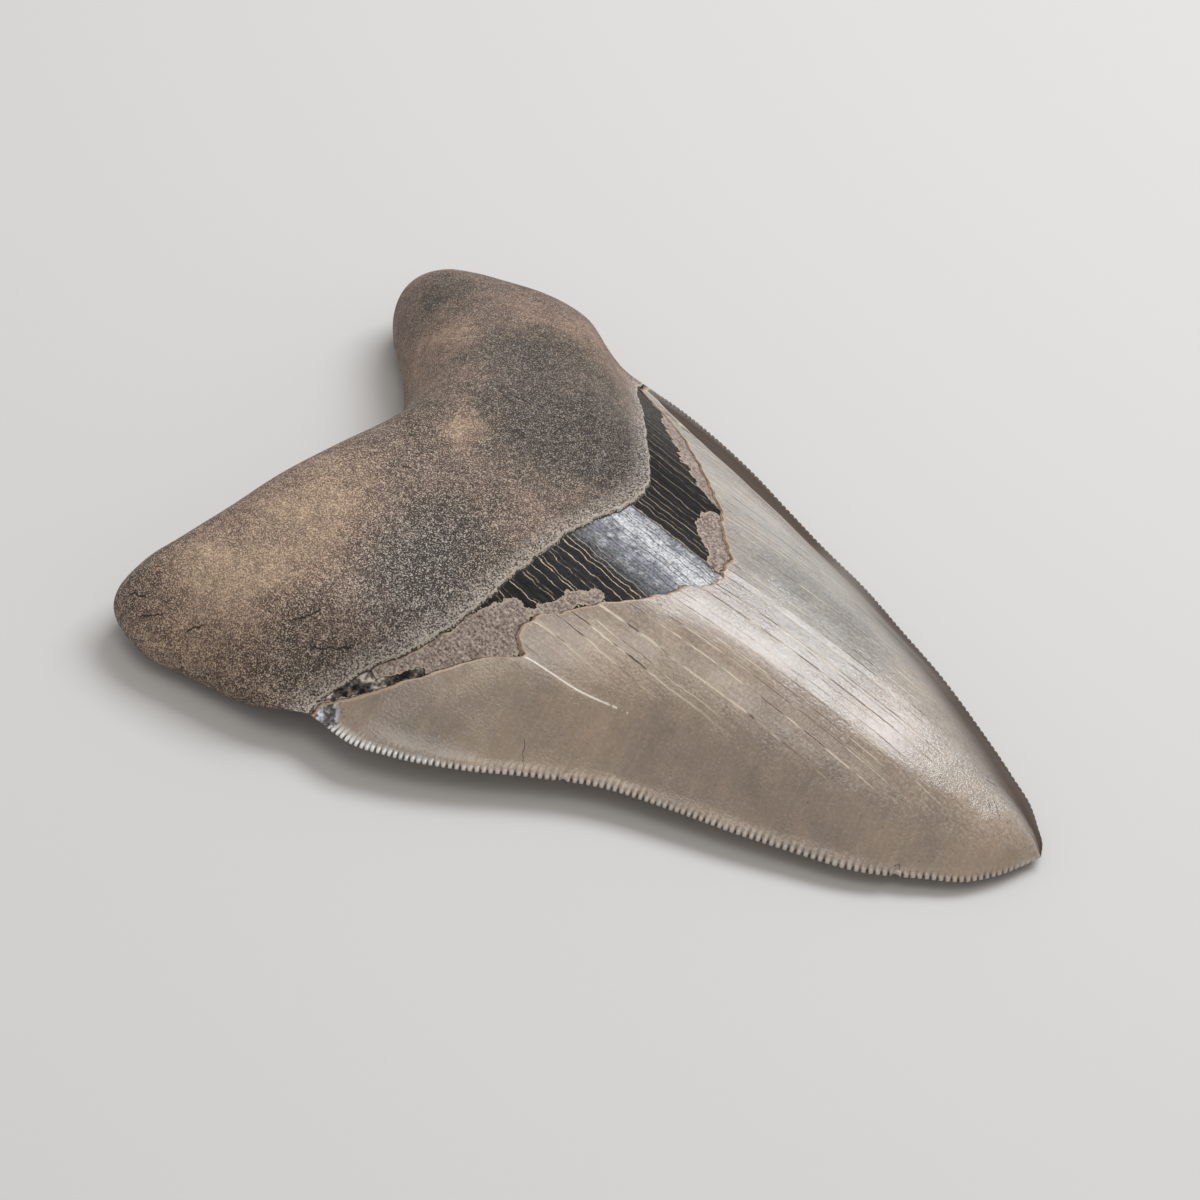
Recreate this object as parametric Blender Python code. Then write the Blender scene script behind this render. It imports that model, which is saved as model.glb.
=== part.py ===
"""Fossil megalodon tooth, an upper anterior about 152 mm long, lying on its flat labial face.

The lingual (display) face looks up, the tip points along +X and the two root lobes along -X.
The tooth is one solid: two skins, lingual above and labial below, share one rim. Along the
crown the rim is the pair of serrated cutting edges; round the root it is a full, soft edge.

Sizes below are millimetres. Stations are (distance, value) pairs and distances along the
tooth are measured from the shoulder line, where the cutting edges meet the root, towards the
tip. The last step centres the finished tooth on the origin, standing on z = 0.
"""

import bpy
import numpy as np

MM = 0.001

# ---- driving dimensions, mm ------------------------------------------------------------
CROWN_LENGTH = 107.0  # shoulder line to tip
TIP_OFFSET = 0.8  # the worn tip leans this far to the +Y side
TIP_BEND = 12.0  # length of crown over which it leans
CUTTING_EDGE_END = 1.0  # the serrated edges stop this far short of the shoulder line

# Half widths of the crown on its two sides, from the tip back to the shoulders.
NEAR_HALF_WIDTH = (
    (107, 0), (106, 2.5), (104, 7), (100, 12.5), (95, 16), (85, 22.5), (75, 26), (65, 29),
    (55, 31.5), (45, 34.5), (35, 40), (25, 46.5), (15, 51.5), (8, 53.5), (0, 52.5),
)
FAR_HALF_WIDTH = (
    (107, 0), (106, 2.5), (104, 5), (100, 9.5), (95, 13), (85, 19), (75, 24.5), (65, 29),
    (55, 33.5), (45, 37), (35, 41), (25, 45), (15, 48), (8, 49.5), (0, 50.5),
)
# Heights above the surface that the tooth lies on.
EDGE_HEIGHT = ((-40, 8), (0, 7), (25, 6), (60, 4.7), (90, 3.2), (107, 2))
RIDGE_HEIGHT = (
    (-45, 24), (-30, 26), (-15, 27.5), (0, 27), (22, 25), (42, 23.5), (60, 20.5), (80, 15.5),
    (95, 10), (104, 5.8), (107, 2),
)
DOME_FULLNESS = 2.8  # how flat the dome is across the middle of the crown
FLANGE_HOLLOW = 1.5  # how much it hollows before the cutting edge
LABIAL_FLAT = 0.35  # share of the half width that lies flat on the surface
LABIAL_CURL = 1.8  # how late the labial face rises to the cutting edges
LABIAL_TIP_RISE = 37.0  # length of the tip that rises off the surface

# Lines across the lingual face, by the share of the half width: -1 near side, +1 far side.
ENAMEL_MARGIN = (
    (-1, 1), (-0.9, 6), (-0.75, 13), (-0.6, 21.5), (-0.45, 25), (-0.3, 33), (-0.15, 38.5),
    (0, 42), (0.15, 41.5), (0.3, 37), (0.45, 32), (0.6, 25), (0.75, 17.5), (0.9, 8.5), (1, 1),
)
ROOT_BORDER = (
    (-1, 0), (-0.85, 4.5), (-0.7, 11), (-0.5, 15), (-0.3, 17), (-0.15, 18.5), (0, 20.5),
    (0.12, 22.5), (0.2, 22.5), (0.35, 20), (0.5, 15), (0.7, 9), (0.85, 4), (1, 0),
)
# The same two lines on the labial face, where enamel reaches further back.
LABIAL_MARGIN = ((-1, 1), (-0.5, 6), (0, 14), (0.5, 6), (1, 1))
LABIAL_GROOVE = 1.0  # width of the wrinkled strip behind the labial enamel
BOURLETTE_DEPTH = 0.5  # the dark band lies this far below the enamel
ROOT_LIP = 0.7  # the root stands this far proud of the dark band
STEP_WIDTH = 0.6  # width of both steps
LIP_FADE = 10.0  # the lip sinks into the root's dome over this length
SHOULDER_FADE = 6  # above 1, how close to the shoulders the steps die out

# Root outline: near shoulder, near lobe, notch, far lobe, far shoulder.
NEAR_SIDE = ((0, -52.5), (-6, -55), (-14, -55.5), (-22, -56), (-30, -56.5))
NEAR_LOBE_TIP = (-38.5, -52.5)
BASAL_EDGE = (
    (-39.5, -45.5), (-37.5, -38.5), (-35, -30), (-32.5, -20), (-29, -10), (-25.5, 0), (-25, 8),
    (-28.5, 17), (-34, 25), (-41, 32.5), (-45, 40),
)
FAR_LOBE_TIP = (-42.5, 47)
FAR_SIDE = ((-36.5, 51), (-30, 53), (-22, 54.5), (-14, 54), (-6, 51.5), (0, 50.5))
RIM_HEIGHT = 6.5  # height of the root's widest line
ROUNDING = 13.0  # reach of the round edge on the lingual face
LABIAL_ROUNDING = 7.0
LOBE_FALL = 9.0  # the lobe ends lie this much lower than the middle of the root
LOBE_REACH = 52.0  # distance from the middle at which that is measured
ROOT_BLEND = 14.0  # length over which the crown's form turns into the root's
LIP_ROUNDING = 4.0  # the lip dies out this near the root's edge
HOLLOW_DEPTH = 2.2  # hollow under the middle of the root
HOLLOW_AT = -12.0
HOLLOW_SIZE = (12.0, 20.0)
HOLLOW_CUTOFF = 0.2  # shallower than this, the root lies flat on the surface

# Serrations
SERRATION_PITCH = 1.0
SERRATION_DEPTH = 0.4
SERRATION_GROOVE = 0.25  # the notches lie this much lower than the points

# ---- fineness of the mesh --------------------------------------------------------------
CROWN_ROWS = 36
BAND_ROWS = 5
ROOT_ROWS = 14
COLUMNS = 32
COLUMN_CROWDING = 0.4  # from 0, even, to 1, gathered towards the cutting edges
TIP_CROWDING = 1.2  # above 1, rows gather towards the tip
RIM_CROWDING = 1.7  # above 1, rows gather towards the root's edge
PATH_SAMPLES = 12  # points that a curved outline gets between two given ones
EDGE_SAMPLES = 4000  # points that the cutting edges are measured with

# Finishes: name, sRGB hex, roughness
ENAMEL = ("enamel", "8E8374", 0.25)
BOURLETTE = ("bourlette", "2A2724", 0.35)
ROOT = ("root", "6F6152", 0.75)


def curve_through(stations):
    """A smooth function through the stations that never overshoots them."""
    at, value = np.array(sorted(stations), float).T
    step = np.diff(at)
    rise = np.diff(value) / step
    slope = np.concatenate([rise[:1], np.zeros(len(at) - 2), rise[-1:]])
    for i in range(1, len(at) - 1):
        if rise[i - 1] * rise[i] > 0:
            before = 2 * step[i] + step[i - 1]
            after = step[i] + 2 * step[i - 1]
            slope[i] = (before + after) / (before / rise[i - 1] + after / rise[i])

    def height(x):
        x = np.clip(x, at[0], at[-1])
        i = np.clip(np.searchsorted(at, x) - 1, 0, len(at) - 2)
        t = (x - at[i]) / step[i]
        start = value[i] * (1 + 2 * t) * (1 - t) ** 2 + slope[i] * step[i] * t * (1 - t) ** 2
        end = value[i + 1] * t * t * (3 - 2 * t) + slope[i + 1] * step[i] * t * t * (t - 1)
        return start + end

    return height


def ease(t):
    """0 below 0, 1 above 1, and a smooth rise between."""
    t = np.clip(t, 0, 1)
    return t * t * (3 - 2 * t)


near_half_width = curve_through(NEAR_HALF_WIDTH)
far_half_width = curve_through(FAR_HALF_WIDTH)
edge_height = curve_through(EDGE_HEIGHT)
ridge_height = curve_through(RIDGE_HEIGHT)
enamel_margin = curve_through(ENAMEL_MARGIN)
root_border = curve_through(ROOT_BORDER)
labial_margin = curve_through(LABIAL_MARGIN)


def inside_shoulders(across):
    """1 over most of the width, falling to 0 at both shoulders."""
    return 1 - np.abs(across) ** SHOULDER_FADE


def labial_border(across):
    """The back of the wrinkled strip, which meets the root border at both shoulders."""
    return (labial_margin(across) - LABIAL_GROOVE) * inside_shoulders(across)


def centre_line(x):
    return TIP_OFFSET * ease((x - CROWN_LENGTH) / TIP_BEND + 1)


def across_to_y(x, across):
    half = np.where(across < 0, near_half_width(x), far_half_width(x))
    return centre_line(x) + across * half


def crown_dome(x, across):
    """Lingual face of the crown: a full dome that hollows into thin cutting edges."""
    edge = edge_height(x)
    shape = (1 - np.abs(across) ** DOME_FULLNESS) ** FLANGE_HOLLOW
    return edge + (ridge_height(x) - edge) * shape


def crown_floor(x, across):
    """Labial face of the crown: flat in the middle, rising to the edges and the tip."""
    edge = edge_height(x)
    middle = edge * ease((x - CROWN_LENGTH) / LABIAL_TIP_RISE + 1) ** 1.5
    side = np.clip((np.abs(across) - LABIAL_FLAT) / (1 - LABIAL_FLAT), 0, 1) ** LABIAL_CURL
    return middle + (edge - middle) * side


def curve_path(points):
    """Points along a Catmull-Rom curve through all the given points."""
    p = np.array(points, float)
    p = np.vstack([2 * p[0] - p[1], p, 2 * p[-1] - p[-2]])
    t = np.linspace(0, 1, PATH_SAMPLES, endpoint=False)[:, None]
    path = []
    for a, b, c, d in zip(p, p[1:], p[2:], p[3:]):
        bend = (2 * a - 5 * b + 4 * c - d) * t**2 + (3 * b - a - 3 * c + d) * t**3
        path.append(0.5 * (2 * b + (c - a) * t + bend))
    return np.vstack(path + [p[-2:-1]])


def along_path(path, share):
    """Points at the given shares of a path's length."""
    lengths = np.linalg.norm(np.diff(path, axis=0), axis=1)
    reach = np.concatenate([[0], np.cumsum(lengths)])
    return np.stack([np.interp(share * reach[-1], reach, path[:, k]) for k in (0, 1)], -1)


def distance_to(path, points):
    nearest = np.full(points.shape[:-1], np.inf)
    for start, end in zip(path[:-1], path[1:]):
        run = end - start
        t = np.clip((points - start) @ run / (run @ run), 0, 1)
        nearest = np.minimum(nearest, np.linalg.norm(points - start - t[..., None] * run, axis=-1))
    return nearest


def root_outline():
    """The root's outline and its three stretches: near side, basal edge, far side."""
    points = NEAR_SIDE + (NEAR_LOBE_TIP,) + BASAL_EDGE + (FAR_LOBE_TIP,) + FAR_SIDE
    path = curve_path(points)
    first = PATH_SAMPLES * len(NEAR_SIDE)
    last = first + PATH_SAMPLES * (1 + len(BASAL_EDGE))
    return path, path[: first + 1], path[first : last + 1], path[last:][::-1]


def columns():
    """Where the columns lie across the tooth, as shares of the half width."""
    even = np.linspace(-1, 1, COLUMNS + 1)
    return (1 - COLUMN_CROWDING) * even + COLUMN_CROWDING * np.sin(even * np.pi / 2)


def crown_rows(front, behind):
    """Distances of the rows from the tip to the front line, then to the line behind it."""
    across = columns()
    rows = []
    for t in np.linspace(0, 1, CROWN_ROWS + 1)[1:] ** TIP_CROWDING:
        rows.append(CROWN_LENGTH - (CROWN_LENGTH - front(across)) * t)
    for t in np.linspace(0, 1, BAND_ROWS + 1)[1:]:
        rows.append(front(across) * (1 - t) + behind(across) * t)
    return np.array(rows)


def root_rows(border_row):
    """Plan positions of the root's rows, from the border to the basal edge."""
    _, near, base, far = root_outline()
    share = np.linspace(0, 1, COLUMNS + 1)
    share = (share + (1 - np.cos(share * np.pi)) / 2) / 2
    foot = along_path(base, share)
    near_pull = ((1 - columns()) / 2)[:, None] ** 3
    far_pull = ((1 + columns()) / 2)[:, None] ** 3
    rows = []
    for s in 1 - (1 - np.linspace(0, 1, ROOT_ROWS + 1)[1:]) ** RIM_CROWDING:
        row = (1 - s) * border_row + s * foot
        near_bulge = along_path(near, s) - row[0]
        far_bulge = along_path(far, s) - row[-1]
        rows.append(row + near_pull * near_bulge + far_pull * far_bulge)
    return np.array(rows)


def fullness(edge, reach):
    """A quarter-round edge: 0 on the root's outline, 1 from the given reach inwards."""
    return np.sqrt(1 - np.clip(1 - edge / reach, 0, 1) ** 2)


def lingual_crown(x, across):
    """The crown's dome, with the dark band sunk below the enamel."""
    sunk = ease((enamel_margin(across) - x) / STEP_WIDTH) * inside_shoulders(across)
    return crown_dome(x, across) - BOURLETTE_DEPTH * sunk


def lingual_root(plan, across, behind, edge):
    """The root's thick dome, which stands proud of the dark band by a lip."""
    x, y = plan[..., 0], plan[..., 1]
    dome = ridge_height(x) - LOBE_FALL * (y / LOBE_REACH) ** 2
    root = RIM_HEIGHT + (dome - RIM_HEIGHT) * fullness(edge, ROUNDING)
    step = ease(behind / STEP_WIDTH)
    lip = ROOT_LIP * step * (1 - ease(behind / LIP_FADE)) * ease(edge / LIP_ROUNDING)
    sunk = BOURLETTE_DEPTH * (1 - step) * inside_shoulders(across)
    past = ease(behind / ROOT_BLEND)
    return past * root + (1 - past) * crown_dome(x, across) + lip - sunk


def labial_root(plan, across, behind, edge):
    """The root's underside: both lobes flat on the surface, a hollow between them."""
    x, y = plan[..., 0], plan[..., 1]
    length, width = HOLLOW_SIZE
    bowl = np.exp(-(((x - HOLLOW_AT) / length) ** 2) - (y / width) ** 2)
    hollow = np.clip(HOLLOW_DEPTH * bowl - HOLLOW_CUTOFF, 0, None)
    root = RIM_HEIGHT - (RIM_HEIGHT - hollow) * fullness(edge, LABIAL_ROUNDING)
    past = ease(behind / ROOT_BLEND)
    return past * root + (1 - past) * crown_floor(x, across)


def skin(front, behind, crown_height, root_height):
    """One face of the tooth as a grid of points, rows from the tip to the basal edge."""
    across = columns()
    x = crown_rows(front, behind)
    crown = np.stack([x, across_to_y(x, across), crown_height(x, across)], -1)
    plan = root_rows(crown[-1, :, :2])
    edge = distance_to(root_outline()[0], plan)
    height = root_height(plan, across, x[-1] - plan[..., 0], edge)
    return np.vstack([crown, np.concatenate([plan, height[..., None]], -1)])


def lingual_skin():
    return skin(enamel_margin, root_border, lingual_crown, lingual_root)


def labial_skin():
    return skin(labial_margin, labial_border, crown_floor, labial_root)


def serrated_edge(side, row_x):
    """A cutting edge from the tip back, a point and a notch for each serration.

    Gives the points and, for each, the row (with a fraction) that it lies level with.
    """
    x = np.linspace(CROWN_LENGTH, CUTTING_EDGE_END, EDGE_SAMPLES)
    line = np.stack([x, across_to_y(x, np.full_like(x, side)), edge_height(x)], -1)
    lengths = np.linalg.norm(np.diff(line, axis=0), axis=1)
    reach = np.concatenate([[0], np.cumsum(lengths)])
    count = 2 * round(reach[-1] / SERRATION_PITCH)
    at = np.linspace(0, reach[-1], count + 1)[1:-1]
    points = np.stack([np.interp(at, reach, line[:, k]) for k in range(3)], -1)
    run = np.gradient(points[:, :2], axis=0)
    inward = np.stack([-run[:, 1], run[:, 0]], -1) * -side
    inward /= np.linalg.norm(inward, axis=1)[:, None]
    notch = (np.arange(len(at)) % 2)[:, None]
    points[:, :2] += notch * SERRATION_DEPTH * inward
    points[:, 2:] -= notch * SERRATION_GROOVE
    row_x = np.concatenate([[CROWN_LENGTH], row_x])
    return points, np.interp(-points[:, 0], -row_x, np.arange(len(row_x)))


class Solid:
    """Collects the points and triangles of the tooth."""

    def __init__(self):
        self.points = []
        self.triangles = []
        self.zones = []

    def add(self, points):
        first = len(self.points)
        self.points.extend(map(tuple, points))
        return list(range(first, first + len(points)))

    def face(self, a, b, c, zone, up):
        self.triangles.append((a, c, b) if up else (a, b, c))
        self.zones.append(zone)

    def stitch(self, left, left_rows, right, right_rows, zone_of, up):
        """Fills between two lines of points with different spacing, matched by row."""
        i = j = 0
        while i < len(left) - 1 or j < len(right) - 1:
            left_next = left_rows[i + 1] if i < len(left) - 1 else np.inf
            right_next = right_rows[j + 1] if j < len(right) - 1 else np.inf
            zone = zone_of(min(left_next, right_next))
            if left_next <= right_next:
                self.face(left[i], left[i + 1], right[j], zone, up)
                i += 1
            else:
                self.face(left[i], right[j + 1], right[j], zone, up)
                j += 1


def rim_line(solid, side, skin_points, tip):
    """The shared edge of both skins on one side: tip, serrations, then the root's side."""
    column = 0 if side < 0 else COLUMNS
    row_x = skin_points[:CROWN_ROWS, column, 0]
    points, rows = serrated_edge(side, row_x)
    ids = [tip] + solid.add(points)
    levels = [0.0] + list(rows)
    first = CROWN_ROWS - 1
    ids += solid.add(skin_points[first:-1, column])
    levels += list(range(first + 1, len(skin_points)))
    return ids, levels


def lingual_zone(row):
    if row <= CROWN_ROWS:
        return 0
    return 1 if row <= CROWN_ROWS + BAND_ROWS else 2


def labial_zone(row):
    return 0 if row <= CROWN_ROWS else 2


def close_skin(solid, points, rims, basal, tip, zone_of, up):
    """Triangles of one skin between the two rims, the tip and the basal edge."""
    grid = [solid.add(row[1:-1]) for row in points[:-1]] + [basal[1:-1]]
    for a, b in zip(grid[0], grid[0][1:]):
        solid.face(tip, a, b, zone_of(1), up)
    for row, (ahead, back) in enumerate(zip(grid, grid[1:]), start=2):
        for a, b, c, d in zip(ahead, ahead[1:], back[1:], back):
            solid.face(a, d, c, zone_of(row), up)
            solid.face(a, c, b, zone_of(row), up)
    levels = list(range(1, len(grid) + 1))
    near = [row[0] for row in grid]
    far = [row[-1] for row in grid]
    solid.stitch(*rims[0], near, levels, zone_of, up)
    solid.stitch(*rims[1], far, levels, zone_of, not up)


def tooth_solid():
    solid = Solid()
    lingual = lingual_skin()
    labial = labial_skin()
    tip = solid.add([(CROWN_LENGTH, TIP_OFFSET, edge_height(CROWN_LENGTH))])[0]
    basal = solid.add(lingual[-1])
    rims = []
    for side, end in ((-1, basal[0]), (1, basal[-1])):
        ids, levels = rim_line(solid, side, lingual, tip)
        rims.append((ids + [end], levels + [float(len(lingual))]))
    close_skin(solid, lingual, rims, basal, tip, lingual_zone, True)
    close_skin(solid, labial, rims, basal, tip, labial_zone, False)
    return solid


def clear_scene():
    for obj in list(bpy.data.objects):
        bpy.data.objects.remove(obj, do_unlink=True)


def linear(hex_colour):
    channels = [int(hex_colour[i : i + 2], 16) / 255 for i in (0, 2, 4)]
    return [c / 12.92 if c <= 0.04045 else ((c + 0.055) / 1.055) ** 2.4 for c in channels]


def finish(name, hex_colour, roughness):
    material = bpy.data.materials.new(name)
    material.use_nodes = True
    shader = material.node_tree.nodes["Principled BSDF"]
    shader.inputs["Base Color"].default_value = (*linear(hex_colour), 1)
    shader.inputs["Roughness"].default_value = roughness
    shader.inputs["Metallic"].default_value = 0
    return material


def make_tooth():
    solid = tooth_solid()
    points = np.array(solid.points)
    low, high = points.min(axis=0), points.max(axis=0)
    points -= ((low[0] + high[0]) / 2, (low[1] + high[1]) / 2, low[2])
    mesh = bpy.data.meshes.new("megalodon_tooth")
    mesh.from_pydata((points * MM).tolist(), [], solid.triangles)
    for material in (ENAMEL, BOURLETTE, ROOT):
        mesh.materials.append(finish(*material))
    mesh.polygons.foreach_set("material_index", solid.zones)
    mesh.shade_smooth()
    mesh.set_sharp_from_angle(angle=0.6)
    tooth = bpy.data.objects.new("megalodon_tooth", mesh)
    bpy.context.scene.collection.objects.link(tooth)


clear_scene()
make_tooth()
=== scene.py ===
"""A fossil megalodon tooth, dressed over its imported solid, on a plain pale studio floor.

The tooth lies on its flat labial face. Its own sizes are millimetres, measured from the
shoulder line, where the cutting edges meet the root: +X towards the tip, +Y towards the far
edge, +Z up. Everything in the scene is in metres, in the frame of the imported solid.
"""

from collections import namedtuple
from math import cos, pi, radians, sin
import bpy
import numpy as np
from bpy.props import FloatProperty, FloatVectorProperty, PointerProperty
from mathutils import Matrix, Vector


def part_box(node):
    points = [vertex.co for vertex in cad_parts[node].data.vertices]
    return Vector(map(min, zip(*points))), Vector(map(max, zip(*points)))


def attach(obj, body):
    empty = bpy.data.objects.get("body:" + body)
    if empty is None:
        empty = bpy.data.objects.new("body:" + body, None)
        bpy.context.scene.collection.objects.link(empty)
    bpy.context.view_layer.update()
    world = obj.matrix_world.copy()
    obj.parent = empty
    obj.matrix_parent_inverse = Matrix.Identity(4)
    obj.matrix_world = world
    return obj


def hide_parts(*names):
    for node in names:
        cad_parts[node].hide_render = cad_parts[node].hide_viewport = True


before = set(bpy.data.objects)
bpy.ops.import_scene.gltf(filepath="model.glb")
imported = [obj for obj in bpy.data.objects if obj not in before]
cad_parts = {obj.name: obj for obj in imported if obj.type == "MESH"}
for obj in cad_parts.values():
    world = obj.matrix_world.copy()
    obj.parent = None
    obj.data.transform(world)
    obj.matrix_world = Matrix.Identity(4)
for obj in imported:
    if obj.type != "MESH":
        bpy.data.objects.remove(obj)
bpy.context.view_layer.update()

bl_info = {
    "name": "Megalodon tooth",
    "version": (1, 0, 0),
    "blender": (4, 5, 0),
    "location": "View3D > Sidebar > Tooth",
    "description": "Models a fossil megalodon tooth, its finishes and a studio floor",
    "category": "Add Mesh",
}

NODE = "megalodon_tooth"
MM = 0.001
MERGE_DISTANCE = 0.001 * MM  # points of two sheets nearer than this are one
TINY = 1e-6  # mm, keeps a divisor above zero

# ---- form of the tooth, mm: the same stations as the solid's -----------------------------
CROWN_LENGTH = 107.0
TIP_OFFSET = 0.8  # the tip lies this far towards the far edge
TIP_BEND = 12.0  # length over which the crown bends to it
CUTTING_EDGE_END = 1.0

# Stations of the half widths, as x and mm from the centre line
NEAR_HALF_WIDTH = (
    (107, 0), (106, 2.5), (104, 7), (100, 12.5), (95, 16), (85, 22.5), (75, 26), (65, 29),
    (55, 31.5), (45, 34.5), (35, 40), (25, 46.5), (15, 51.5), (8, 53.5), (0, 52.5),
)
FAR_HALF_WIDTH = (
    (107, 0), (106, 2.5), (104, 5), (100, 9.5), (95, 13), (85, 19), (75, 24.5), (65, 29),
    (55, 33.5), (45, 37), (35, 41), (25, 45), (15, 48), (8, 49.5), (0, 50.5),
)

# Stations of the height of the cutting edges and of the ridge between them, as x and z
EDGE_HEIGHT = ((-40, 8), (0, 7), (25, 6), (60, 4.7), (90, 3.2), (107, 2))
RIDGE_HEIGHT = (
    (-45, 24), (-30, 26), (-15, 27.5), (0, 27), (22, 25), (42, 23.5), (60, 20.5), (80, 15.5),
    (95, 10), (104, 5.8), (107, 2),
)
DOME_FULLNESS = 2.8  # how full the crown is across, in its middle
FLANGE_HOLLOW = 1.5  # how hollow it is beside its cutting edges
LABIAL_TIP_ONSET = 1.5  # how late the labial face's rise to the tip sets in
LABIAL_FLAT = 0.35  # share of the half width that lies flat on the surface
LABIAL_CURL = 1.8  # how late the labial face curls up to the cutting edges
LABIAL_TIP_RISE = 37.0  # length over which the labial face rises to the tip

# Where the enamel ends and the root begins on each face, as share of the half width and x
ENAMEL_MARGIN = (
    (-1, 1), (-0.9, 6), (-0.75, 13), (-0.6, 21.5), (-0.45, 25), (-0.3, 33), (-0.15, 38.5),
    (0, 42), (0.15, 41.5), (0.3, 37), (0.45, 32), (0.6, 25), (0.75, 17.5), (0.9, 8.5), (1, 1),
)
ROOT_BORDER = (
    (-1, 0), (-0.85, 4.5), (-0.7, 11), (-0.5, 15), (-0.3, 17), (-0.15, 18.5), (0, 20.5),
    (0.12, 22.5), (0.2, 22.5), (0.35, 20), (0.5, 15), (0.7, 9), (0.85, 4), (1, 0),
)
LABIAL_MARGIN = ((-1, 1), (-0.5, 6), (0, 14), (0.5, 6), (1, 1))
LABIAL_GROOVE = 1.0  # the labial root begins this far behind the enamel
SHOULDER_FADE = 6  # above 1, how near the shoulders the band and the root's lip die out

# The root's outline seen from above, as x and y, from the near shoulder round to the far one
NEAR_SIDE = ((0, -52.5), (-6, -55), (-14, -55.5), (-22, -56), (-30, -56.5))
NEAR_LOBE_TIP = (-38.5, -52.5)
BASAL_EDGE = (
    (-39.5, -45.5), (-37.5, -38.5), (-35, -30), (-32.5, -20), (-29, -10), (-25.5, 0), (-25, 8),
    (-28.5, 17), (-34, 25), (-41, 32.5), (-45, 40),
)
FAR_LOBE_TIP = (-42.5, 47)
FAR_SIDE = ((-36.5, 51), (-30, 53), (-22, 54.5), (-14, 54), (-6, 51.5), (0, 50.5))
RIM_HEIGHT = 6.5  # height at which the root's two faces meet
ROUNDING = 13.0  # width of the root's rounded shoulder above the rim
LABIAL_ROUNDING = 7.0  # and below it
LOBE_FALL = 9.0  # how much lower the lobes are than the middle
LOBE_REACH = 52.0  # distance from the middle at which they are that much lower
ROOT_BLEND = 14.0  # length over which the crown's dome turns into the root's
LIP_FADE = 10.0  # length over which the root's lip dies out backwards
LIP_ROUNDING = 4.0  # and sideways, near the rim
HOLLOW_DEPTH = 2.2  # the hollow under the root, between its lobes
HOLLOW_AT = -12.0
HOLLOW_SIZE = (12.0, 20.0)  # along and across the tooth
HOLLOW_CUTOFF = 0.2  # keeps the hollow's edge clear

# ---- fine relief that only the dressed tooth has, mm --------------------------------------
MARGIN_STEP = 0.35  # width of the enamel's step down to the dark band
BORDER_STEP = 0.4  # width of the root's step down to the dark band
RIM_LINES = (0.0, 0.15, 0.38, 0.75, 1.35, 2.3)  # mesh lines beside the cutting edge, in from it
RIM_SHARE = 0.4  # the largest share of the half width that they take, near the tip
BEAD_REACH = 0.45  # width over which the cutting edge's rim is rounded
GROOVE_REACH = ((0, 2.2), (10, 2.0), (35, 1.35), (107, 1.2))  # length of the notches' grooves, by x
GROOVE_ONSET = 0.8  # a groove is at its deepest this far in
EDGE_FADE = 5.0  # length over which the notches wear down at the tip, and the rim at the shoulders
NOTCH_DEPTHS = (0.6, 1.15)  # the shallowest and the deepest notch, to the usual one
TIP_NOTCH = 0.25  # depth of the notches at the worn tip, to the usual one
NOTCH_START = 1.0  # the notches begin this far from the cutting edges' ends at the shoulders
NOTCH_RISE = 2.0  # and reach their full depth over this length
NOTCH_SEED = 20
LEDGE = (  # the low ledge in the enamel seen from above, as x and y
    (20, -31.5), (23.6, -29.6), (25.6, -29.1), (29.6, -28.6), (33.7, -28.0), (36.7, -27.3),
    (40.8, -26.1), (44.0, -25.4), (60, -23),
)
LEDGE_WIDTH = 1.3  # width of its slope
LEDGE_FADE = 8.0  # width over which the raised side falls back to the crown
LEDGE_RISE = 3.0  # length over which it rises at its start
LEDGE_FALL = 14.0  # length over which it dies out after its fifth point
LEDGE_INSET = 0.5  # how far inside the enamel's margin it is at its full height
MARGIN_BREAKS = (  # how far the enamel's worn margin runs past its smooth line, as share and mm
    (-1, 0), (-0.85, 1.2), (-0.757, 2.6), (-0.684, 3.6), (-0.652, 5.4), (-0.632, 3.2), (-0.6, 0.6),
    (-0.547, -0.8), (-0.505, 0), (-0.474, 1.8), (-0.4, 1.5), (-0.295, 1.2), (-0.1, 0), (1, 0),
)
CRACKS = (  # where the enamel's long cracks lie across the tooth, as y
    -44.5, -40.2, -36.0, -32.4, -28.0, -24.3, -19.8, -16.2, -13.0, -11.0, -9.4, -7.7, -5.8, -2.8,
    -0.3, 2.4, 3.9, 5.4, 8.3, 10.7, 13.2, 15.3, 17.8, 20.3, 23.5, 26.0, 28.2, 31.5, 34.8, 37.0, 41.0,
)
FLANGE = (  # the far flange's crease, as x and its distance in mm from the cutting edge
    (0, 1.0), (4.2, 2.2), (7.8, 4.2), (14.5, 6.2), (20, 7.0), (29, 6.4), (36, 4.8), (48, 4.2), (60, 3.6),
    (80, 2.6), (100, 1.8), (107, 1.5),
)
MOST_SERRATIONS = 150  # more than fit on one cutting edge
PITCH_ALONG = (  # distance along a cutting edge from the tip, and the pitch there to the usual one
    (0, 1.05), (26, 1.02), (38, 1.08), (50, 0.98), (62, 0.9), (74, 0.95), (86, 1.02), (98, 0.97),
    (110, 0.82), (130, 0.84),
)
FAR_SERRATIONS = 0.7  # depth of the far edge's notches, to the near edge's
CHIPS = ((90.6, -1, 0.7), (39.0, -1, 0.6))  # chips in a cutting edge: x, side, size
CHIP_WIPE = 0.4  # depth of a chip that leaves no notch
NEAR_CORNER = (1.5, -51.6, 7)  # where the near cutting edge ends, x, y and z

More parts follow.
